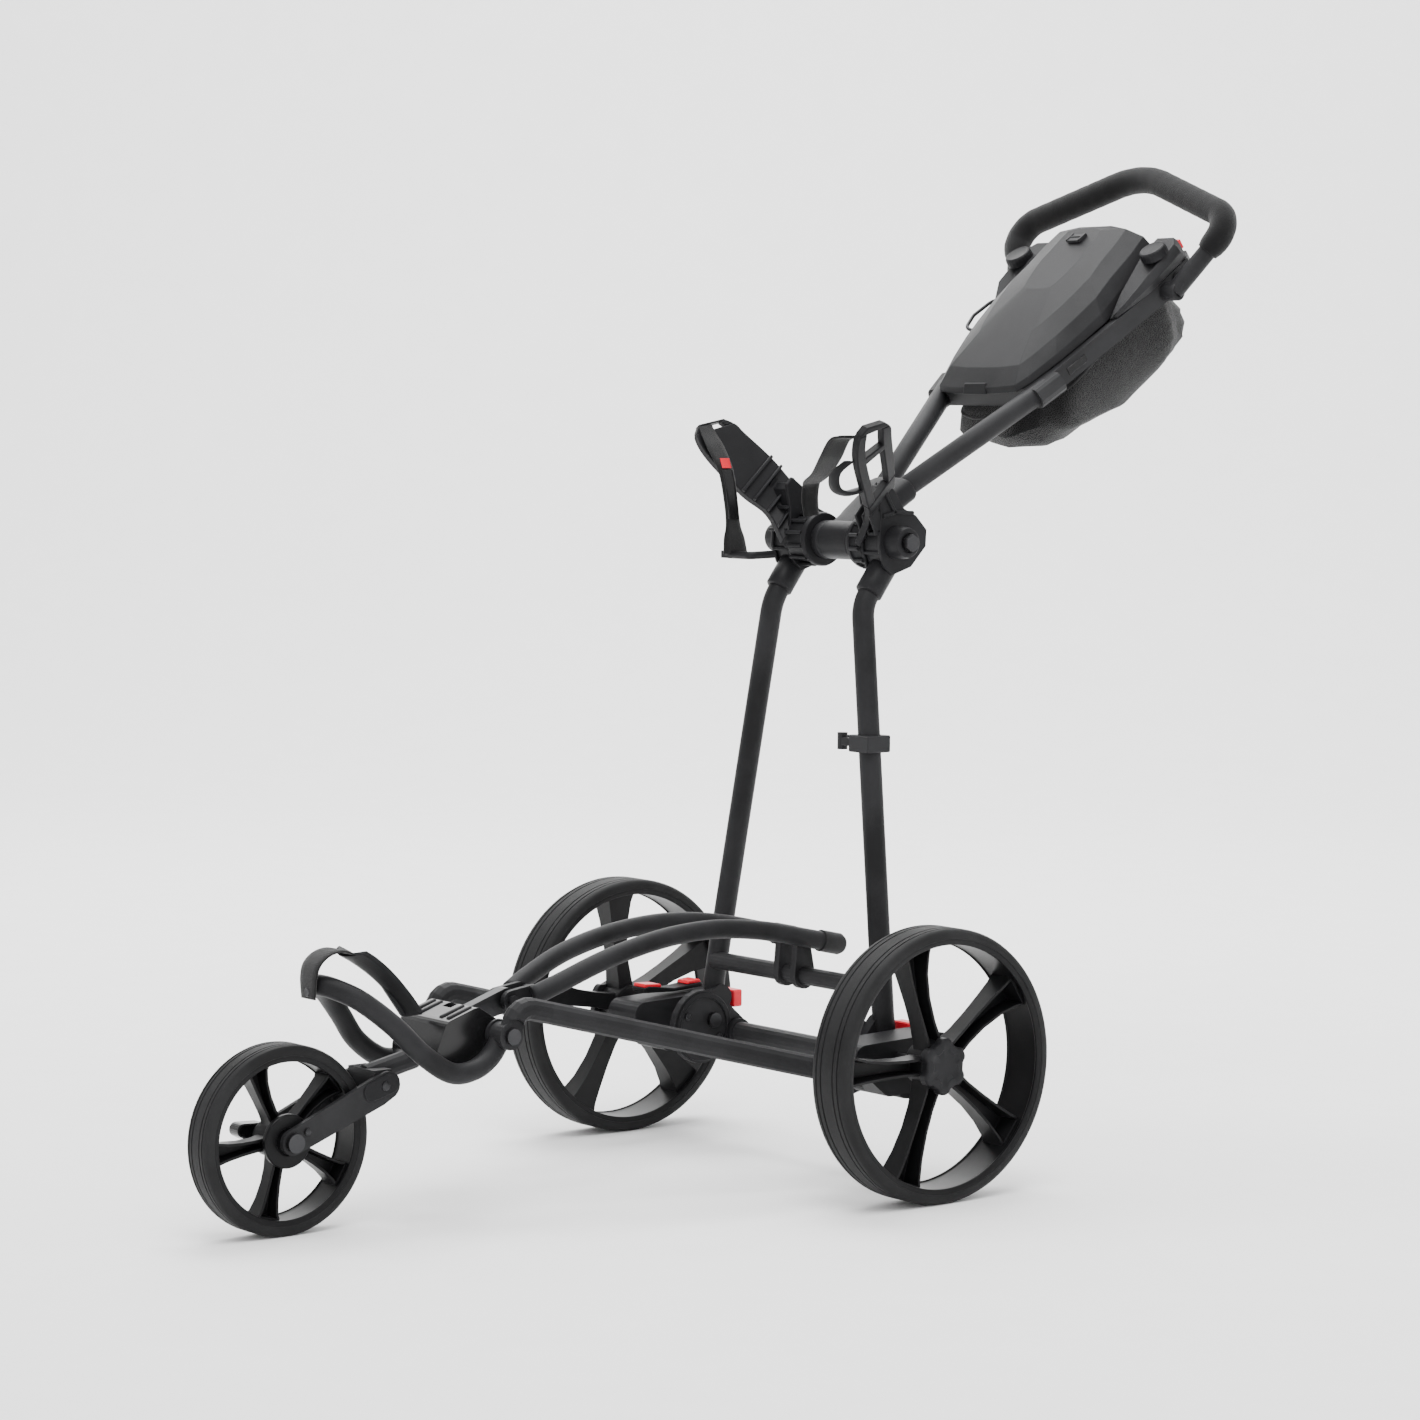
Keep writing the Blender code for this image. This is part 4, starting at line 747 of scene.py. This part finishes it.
def console():
    """Lid, housings, knobs and the small trim of the console."""
    levels = ((0.0121, 0.995, 0.001, 0.001), (0.0136, 1.0, 0.0, 0.0), (0.0280, 0.985, 0.002, 0.002),
              (0.0480, 0.900, 0.026, 0.004), (0.0630, 0.680, 0.078, 0.010), (0.0712, 0.340, 0.150, 0.024))
    hollow = ((0.0570, 0.600, 0.084, 0.020), (0.0440, 0.840, 0.034, 0.011),
              (0.0250, 0.935, 0.008, 0.007), (0.0121, 0.945, 0.006, 0.006))
    shape = Shape().loft([lid_ring(*level) for level in hollow + levels])
    crest = lid_ring(*levels[-1])
    middle = sum(crest, Vector()) / len(crest)
    shape.faces.pop()
    shape.loft([crest, [p.lerp(middle, 0.5) for p in crest]], caps=False)
    shape.faces.append(tuple(range(len(shape.verts) - len(crest), len(shape.verts))))
    solid("lid_shell", shape, "console", "lid", "console_lid", bevel=0.0020, angle=9, bevel_angle=7)
    latch = Shape()
    for x_low, x_high, u_low, u_high, top in ((-0.0090, 0.0090, 0.4960, 0.5100, 0.0706),
                                              (-0.0120, -0.0090, 0.4970, 0.5110, 0.0716),
                                              (0.0090, 0.0120, 0.4970, 0.5110, 0.0716),
                                              (-0.0090, 0.0090, 0.5030, 0.5052, 0.0716)):
        latch.block((x_low, u_low, 0.0670), (x_high, u_high, top), on_handle)
    solid("lid_latch", latch, "console", "lid", bevel=0.0006)
    badge = Shape().loft([[on_handle(x, u, v) for x, u, v in
                           ((-0.0200, 0.2655, 0.0130), (0.0200, 0.2655, 0.0130),
                            (0.0185, 0.2735, 0.0235), (-0.0185, 0.2735, 0.0235))],
                          [on_handle(x, u - 0.0030, v + 0.0010) for x, u, v in
                           ((-0.0195, 0.2655, 0.0135), (0.0195, 0.2655, 0.0135),
                            (0.0180, 0.2735, 0.0232), (-0.0180, 0.2735, 0.0232))]])
    solid("lid_badge", badge, "plastic", "lid", bevel=0.0008)
    outline = ((0.0990, 0.4130), (0.1090, 0.4180), (0.1300, 0.4700), (0.1310, 0.5280), (0.1200, 0.5420),
               (0.0860, 0.5420), (0.0870, 0.5300), (0.0925, 0.5020), (0.0940, 0.4520))
    for label, sign in SIDES:
        rings = []
        for share, inset in ((0.0, 0.0), (0.55, 0.0), (0.85, 0.0012), (1.0, 0.0035)):
            ring = []
            for x, u in outline:
                top = min(0.0405, 0.0125 + max(0.0, u - 0.4100) * 0.36)
                v = TRAY_TOP + 0.0004 + (top - TRAY_TOP) * share
                x = x - inset if x > 0.105 else x + inset
                x = min(x, 0.1215) if v < 0.0215 else x
                ring.append(on_handle(x * sign, u - inset * 0.5, v))
            rings.append(ring)
        solid(f"housing_{label}", Shape().loft(rings), "console", "handle", f"rear_housing_{label}",
              bevel=0.0012)
        knob(label, sign)
    rings = []
    for u, w in ((0.3270, 0.0948), (0.3560, 0.0997)):
        rings.append([on_handle(w - 0.0020, u, -0.0050), on_handle(w + 0.0012, u, -0.0050),
                      on_handle(w + 0.0012, u, 0.0045), on_handle(w - 0.0020, u, 0.0045)])
    solid("rail_panel", Shape().loft(rings), "gloss", "handle", bevel=0.0006)
    profile = ((0.1195, 0.0072), (0.1240, 0.0072), (0.1252, 0.0062), (0.1252, 0.0040), (0.1246, 0.0034))
    for label, sign in SIDES:
        button = Shape().disc([(x * sign, r) for x, r in profile], on_handle(0, 0.5130, 0.0010), 32)
        solid(f"rail_button_{label}", button, "plastic", "handle", bevel=0.0003)
    loop = [on_handle(-0.1180, 0.4560, 0.0180), on_handle(-0.1330, 0.4480, 0.0180),
            on_handle(-0.1390, 0.4200, 0.0180), on_handle(-0.1330, 0.3960, 0.0160),
            on_handle(-0.1080, 0.3940, 0.0100)]
    tube("towel_loop", fillet(loop, 0.010, 8), 0.0022, "steel", "handle", sides=14, ease=0.0005)


def knob(label, sign):
    """A round dial with fine grip notches, riding on its own joint."""
    centre = on_handle(0.1150 * sign, 0.5040, 0.0)
    up = on_handle(0, 0, 1) - on_handle(0, 0, 0)
    side = Vector((1, 0, 0))
    ahead = up.cross(side)
    rings = []
    for v, r in ((0.0388, 0.0158), (0.0392, 0.0168), (0.0440, 0.0170), (0.0482, 0.0166), (0.0498, 0.0156),
                 (0.0505, 0.0140), (0.0499, 0.0120)):
        ring = []
        for i, t in enumerate(turns(72)):
            grip = r - (0.0005 if i % 3 == 0 and 0.0392 < v < 0.0490 else 0.0)
            ring.append(centre + up * v + (side * math.cos(t) + ahead * math.sin(t)) * grip)
        rings.append(ring)
    solid(f"dial_{label}", Shape().loft(rings), "plastic", f"knob_{label}", f"knob_{label}", angle=40)


def pouch():
    """The hanging net pouch: a hollow sagging shell with soft folds and an uneven hem."""
    count = 72
    rings = []
    profile = ((-0.0125, 0.0790, 0.2780, 0.5450), (-0.0230, 0.0810, 0.2660, 0.5500),
               (-0.0400, 0.0820, 0.2520, 0.5555), (-0.0580, 0.0808, 0.2600, 0.5580),
               (-0.0740, 0.0775, 0.2860, 0.5590), (-0.0880, 0.0710, 0.3220, 0.5570),
               (-0.1000, 0.0620, 0.3680, 0.5500), (-0.1080, 0.0490, 0.4020, 0.5380),
               (-0.1120, 0.0300, 0.4350, 0.5150), (-0.1125, 0.0100, 0.4700, 0.4850))
    for level, (v, wide, front, rear) in enumerate(profile):
        ring = []
        slack = math.sin(math.pi * level / (len(profile) - 1))
        for t in turns(count):
            waves = math.sin(7 * t + level * 0.5) + 0.5 * math.sin(13 * t + 1.7 * level)
            fold = 1 - 0.075 * slack * waves * 0.6
            x = wide * fold * squared(math.cos(t), 0.6)
            u = (front + rear) / 2 + (rear - front) / 2 * fold * squared(math.sin(t), 0.6)
            dip = 0.0042 * slack * math.sin(5 * t + level)
            ring.append(on_handle(x, u, v + dip))
        rings.append(ring)
    shape = Shape().loft(rings, caps=False)
    shape.faces.append(tuple(range(len(shape.verts) - count, len(shape.verts))))
    solid("pouch_net", shape, "mesh_bag", "handle", "mesh_pouch", thick=0.0022)
    hem = rings[1] + rings[1][:2]
    cord = Shape().loft([circle(*place, 0.0022, 8) for place in frames(hem)])
    solid("pouch_hem", cord, "webbing", "handle")


def foam_and_bar():
    """The grip: a coated bar with a thick foam sleeve whose ends are rounded over."""
    corners = [on_grip(0.137, 0), on_grip(0.1840, 0.0960), on_grip(0, 0.1665), on_grip(-0.1840, 0.0960)]
    soft = fillet(corners[:3], 0.030, 12)[:-1]
    top = fillet(corners[1:], 0.110, 12)[1:-1]
    line = soft + top + flip(soft[::-1], -1)
    bar = Shape().bar(line, 0.0108, 24)
    eye = ((0.1235, 0.0098), (0.1245, 0.0108), (0.1435, 0.0108), (0.1445, 0.0098), (0.1445, 0.0062),
           (0.1436, 0.0056))
    for _, sign in SIDES:
        bar.disc([(x * sign, r) for x, r in eye], on_handle(0, *GRIP_AXIS), 32)
    solid("grip_tube", bar, "frame", "grip", "grip_bar", angle=45)
    start = line[0].lerp(line[1], 0.80)
    fine = []
    route = [start] + line[1:-1] + [Vector((-start.x, start.y, start.z))]
    for a, b in zip(route, route[1:]):
        pieces = max(1, round((b - a).length / 0.006))
        fine += [a.lerp(b, i / pieces) for i in range(pieces)]
    fine.append(route[-1])
    rings = []
    for i, place in enumerate(frames(fine)):
        near = min(i, len(fine) - 1 - i)
        radius = (0.0128, 0.0150, 0.0158)[near] if near < 3 else 0.0160 + 0.00012 * math.sin(i * 1.9)
        rings.append(circle(*place, radius, 36))
    foam = solid("foam_sleeve", Shape().loft(rings), "foam", "grip", "foam_grip", angle=60)


# ---------------------------------------------------------------- nose, foot and small trim
def nose():
    """The tongue over the hoop, its strap and rivet, and the knuckle's ribs."""
    rows = ((0.013, -0.500, 0.2130), (0.012, -0.514, 0.2320), (0.016, -0.538, 0.2560),
            (0.022, -0.562, 0.2740), (0.026, -0.580, 0.2845))
    middles = smooth([at(0, y, z) for _, y, z in rows], 5)
    halves = smooth([(half, 0, 0) for half, _, _ in rows], 5)
    bow = (-1, -0.6, -0.2, 0.2, 0.6, 1)
    shape = Shape()
    rings = []
    for middle, half in zip(middles, halves):
        w = half.x
        rings.append([middle + Vector((x * w, 0.010 * x * x, 0.004 * x * x)) for x in bow]
                     + [middle + Vector((x * w, 0.010 * x * x + 0.0045, 0.004 * x * x + 0.0035))
                        for x in bow[::-1]])
    shape.loft(rings)
    shape.prism([(-0.504, 0.214), (-0.478, 0.214), (-0.520, 0.254), (-0.532, 0.252)], -0.0030, 0.0030)
    solid("foot_tongue", shape, "plastic", "front_arm", "bag_foot", bevel=0.0010)
    wide = (0.0165, 0.0, 0.0)
    strap = [((0.000, -0.5700, 0.2855), wide, (0, 0, 1)), ((0.000, -0.5860, 0.2915), wide, (0, -0.2, 1)),
             ((0.000, -0.6030, 0.2890), wide, (0, -0.6, 1)), ((0.000, -0.6160, 0.2790), wide, (0, -1, 0.6)),
             ((0.000, -0.6205, 0.2640), (0.0155, 0, 0), (0, -1, 0.1)),
             ((0.000, -0.6205, 0.2430), (0.0130, 0, 0), (0, -1, 0))]
    woven("nose_strap", strap, 0.0012, "webbing", "front_arm", "foot_strap")
    rings = []
    for y, r in ((-0.6195, 0.0050), (-0.6222, 0.0050), (-0.6232, 0.0040), (-0.6232, 0.0016)):
        rings.append([at(r * math.cos(t), y, 0.2500 + r * math.sin(t)) for t in turns(24)])
    solid("nose_rivet", Shape().loft(rings), "steel", "front_arm")
    ribs = Shape()
    outline = ((-0.4300, 0.2060), (-0.4380, 0.2235), (-0.4680, 0.2140), (-0.4800, 0.1800),
               (-0.4660, 0.1840))
    for x in (-0.0330, -0.0200, 0.0200, 0.0330):
        ribs.prism(outline, x - 0.0022, x + 0.0022)
    solid("knuckle_ribs", ribs, "plastic", "front_arm", bevel=0.0012)


def small_trim():
    """Hinge rings and bolts, axle collars, bracket clamps, and the fork's cover and bolts."""
    for label, sign in SIDES:
        ring = [(0.1272 * sign, 0.0400), (0.1258 * sign, 0.0400), (0.1252 * sign, 0.0392),
                (0.1252 * sign, 0.0345), (0.1258 * sign, 0.0338), (0.1272 * sign, 0.0338)]
        solid(f"hinge_ring_{label}", Shape().turned(ring, at(0, 0.006, 0.140), 72), "plastic", "base")
        bolts = Shape()
        for turn in (30, 150, 210, 330):
            y = 0.006 + 0.0270 * math.cos(math.radians(turn))
            z = 0.140 + 0.0270 * math.sin(math.radians(turn))
            if (y - FOLD_AXIS[0]) ** 2 + (z - FOLD_AXIS[1]) ** 2 > 0.013 ** 2:
                bolts.disc([(0.1276 * sign, 0.0040), (0.1256 * sign, 0.0040), (0.1250 * sign, 0.0032)],
                           at(0, y, z), 20)
        solid(f"hinge_bolts_{label}", bolts, "steel", "base")
        collar = [(0.1190 * sign, 0.0150), (0.1196 * sign, 0.0160), (0.1262 * sign, 0.0160),
                  (0.1268 * sign, 0.0150)]
        solid(f"axle_collar_{label}", Shape().disc(collar, at(0, 0.055, 0.130)), "plastic", "base")
        block = hull([(0.018, 0.112, 0.010), (0.048, 0.110, 0.012)])
        clamp = Shape().prism(block, 0.1760 * sign, 0.2160 * sign)
        solid(f"bracket_clamp_{label}", clamp, "plastic", "base", bevel=0.0015)
    plate = Shape().prism(hull([(-0.538, 0.1505, 0.0110), (-0.562, 0.1430, 0.0100)]), 0.0296, 0.0316)
    solid("fork_cover", plate, "plastic", "front_arm", bevel=0.0008)
    nuts = Shape()
    for x, y, z, r in ((0.0300, -0.5450, 0.1480, 0.0048), (0.0300, -0.6420, 0.1100, 0.0034)):
        nuts.disc([(x, r), (x + 0.0026, r), (x + 0.0030, r * 0.8)], at(0, y, z), 24)
    solid("fork_bolts", nuts, "steel", "front_arm")


def pedal():
    """The brake pedal: a dark rocker with two small red treads."""
    rocker = Shape().prism([(-0.036, 0.1760), (-0.037, 0.1815), (-0.030, 0.1835), (0.008, 0.1785),
                            (0.046, 0.1822), (0.051, 0.1800), (0.049, 0.1768), (0.008, 0.1745)],
                           -0.2080, -0.1840)
    solid("pedal_rocker", rocker, "plastic", "brake_pedal", "brake_pedal", bevel=0.0012)
    treads = Shape()
    treads.prism([(-0.036, 0.1822), (-0.035, 0.1862), (-0.012, 0.1850), (-0.010, 0.1808)], -0.2070, -0.1850)
    treads.prism([(0.028, 0.1808), (0.030, 0.1850), (0.046, 0.1860), (0.049, 0.1820)], -0.2070, -0.1850)
    solid("pedal_treads", treads, "red", "brake_pedal", bevel=0.0012)


# ---------------------------------------------------------------- carried-over CAD nodes
def dress_frame():
    """Give every carried-over CAD node its finish."""
    slots = {row["node"]: row["material_slot"] for row in frame["record"]["subparts"]}
    for name, made in frame["nodes"].items():
        made.data.materials.clear()
        made.data.materials.append(MATERIALS[slots[name]])


# ---------------------------------------------------------------- floor, light and camera
VIEW_AZIMUTH = math.radians(51.366)  # from straight in front, towards the trolley's left
VIEW_ELEVATION = math.radians(4.330)
VIEW_ROLL = math.radians(0.336)
VIEW_PLACE = (3.4984, -2.8848, 0.8604)
LENS = 102.0                         # millimetres, as is the sensor's width
SENSOR = 36


def photo_camera():
    """The camera at the photo's angle, distance and lens."""
    level = math.cos(VIEW_ELEVATION)
    back = Vector((math.sin(VIEW_AZIMUTH) * level, -math.cos(VIEW_AZIMUTH) * level,
                   math.sin(VIEW_ELEVATION)))
    right = Vector((math.cos(VIEW_AZIMUTH), math.sin(VIEW_AZIMUTH), 0))
    up = back.cross(right)
    side = math.cos(VIEW_ROLL) * right + math.sin(VIEW_ROLL) * up
    top = -math.sin(VIEW_ROLL) * right + math.cos(VIEW_ROLL) * up
    data = bpy.data.cameras.new("photo camera")
    data.lens = LENS
    data.sensor_width = SENSOR
    data.clip_end = 30
    made = bpy.data.objects.new("photo camera", data)
    bpy.context.scene.collection.objects.link(made)
    place = Matrix((side, top, back)).transposed().to_4x4()
    place.translation = at(*VIEW_PLACE)
    made.matrix_world = place
    bpy.context.scene.camera = made


def lamp(name, place, aim, size, power):
    """A soft square light pointed at a place."""
    data = bpy.data.lights.new(name, "AREA")
    data.size = size
    data.energy = power
    made = bpy.data.objects.new(name, data)
    bpy.context.scene.collection.objects.link(made)
    made.location = place
    made.rotation_euler = (Vector(aim) - Vector(place)).to_track_quat("-Z", "Y").to_euler()


def studio():
    """A pale floor that curves up behind the trolley, and soft lights."""
    front, foot, bend, top, half_width = -9.0, 4.0, 2.0, 6.0, 9
    curve = [math.pi / 2 * i / 12 for i in range(13)]
    line = [(front, 0.0)]
    line += [(foot + bend * math.sin(t), bend - bend * math.cos(t)) for t in curve]
    line += [(foot + bend, top)]
    view = Vector((-math.sin(VIEW_AZIMUTH), math.cos(VIEW_AZIMUTH), 0))
    across = Vector((view.y, -view.x, 0)) * half_width
    data = bpy.data.meshes.new("floor")
    verts = []
    for reach, z in line:
        middle = view * reach + Vector((0, 0, z))
        verts += [middle - across, middle + across]
    data.from_pydata([tuple(v) for v in verts], [],
                     [(2 * i, 2 * i + 1, 2 * i + 3, 2 * i + 2) for i in range(len(line) - 1)])
    data.shade_smooth()
    floor = bpy.data.objects.new("floor", data)
    bpy.context.scene.collection.objects.link(floor)
    data.materials.append(finish_material("pale floor", (0.95, 0.95, 0.95), 0.80, 300, 0.02, 0.01))
    world = bpy.data.worlds.new("studio")
    world.use_nodes = True
    backdrop = world.node_tree.nodes["Background"]
    backdrop.inputs["Color"].default_value = (1, 1, 1, 1)
    backdrop.inputs["Strength"].default_value = 1.30
    bpy.context.scene.world = world
    lamp("key", (1.6, -1.2, 4.2), (0, 0, 0.3), 2.4, 150)
    lamp("far rim", (-3.0, 1.4, 3.0), (0, 0, 0.5), 2.4, 35)
    lamp("backdrop", (-1.5, 1.2, 5.0), (-3.0, 4.0, 0.0), 3.5, 420)


dress_frame()
wheels()
frame_tubes()
for _label, _sign, _face in HUB_FACES:
    cradle(_label, _sign, _face)
far_wing()
near_wing()
yoke()
straps()
console()
pouch()
foam_and_bar()
nose()
small_trim()
pedal()
photo_camera()
studio()
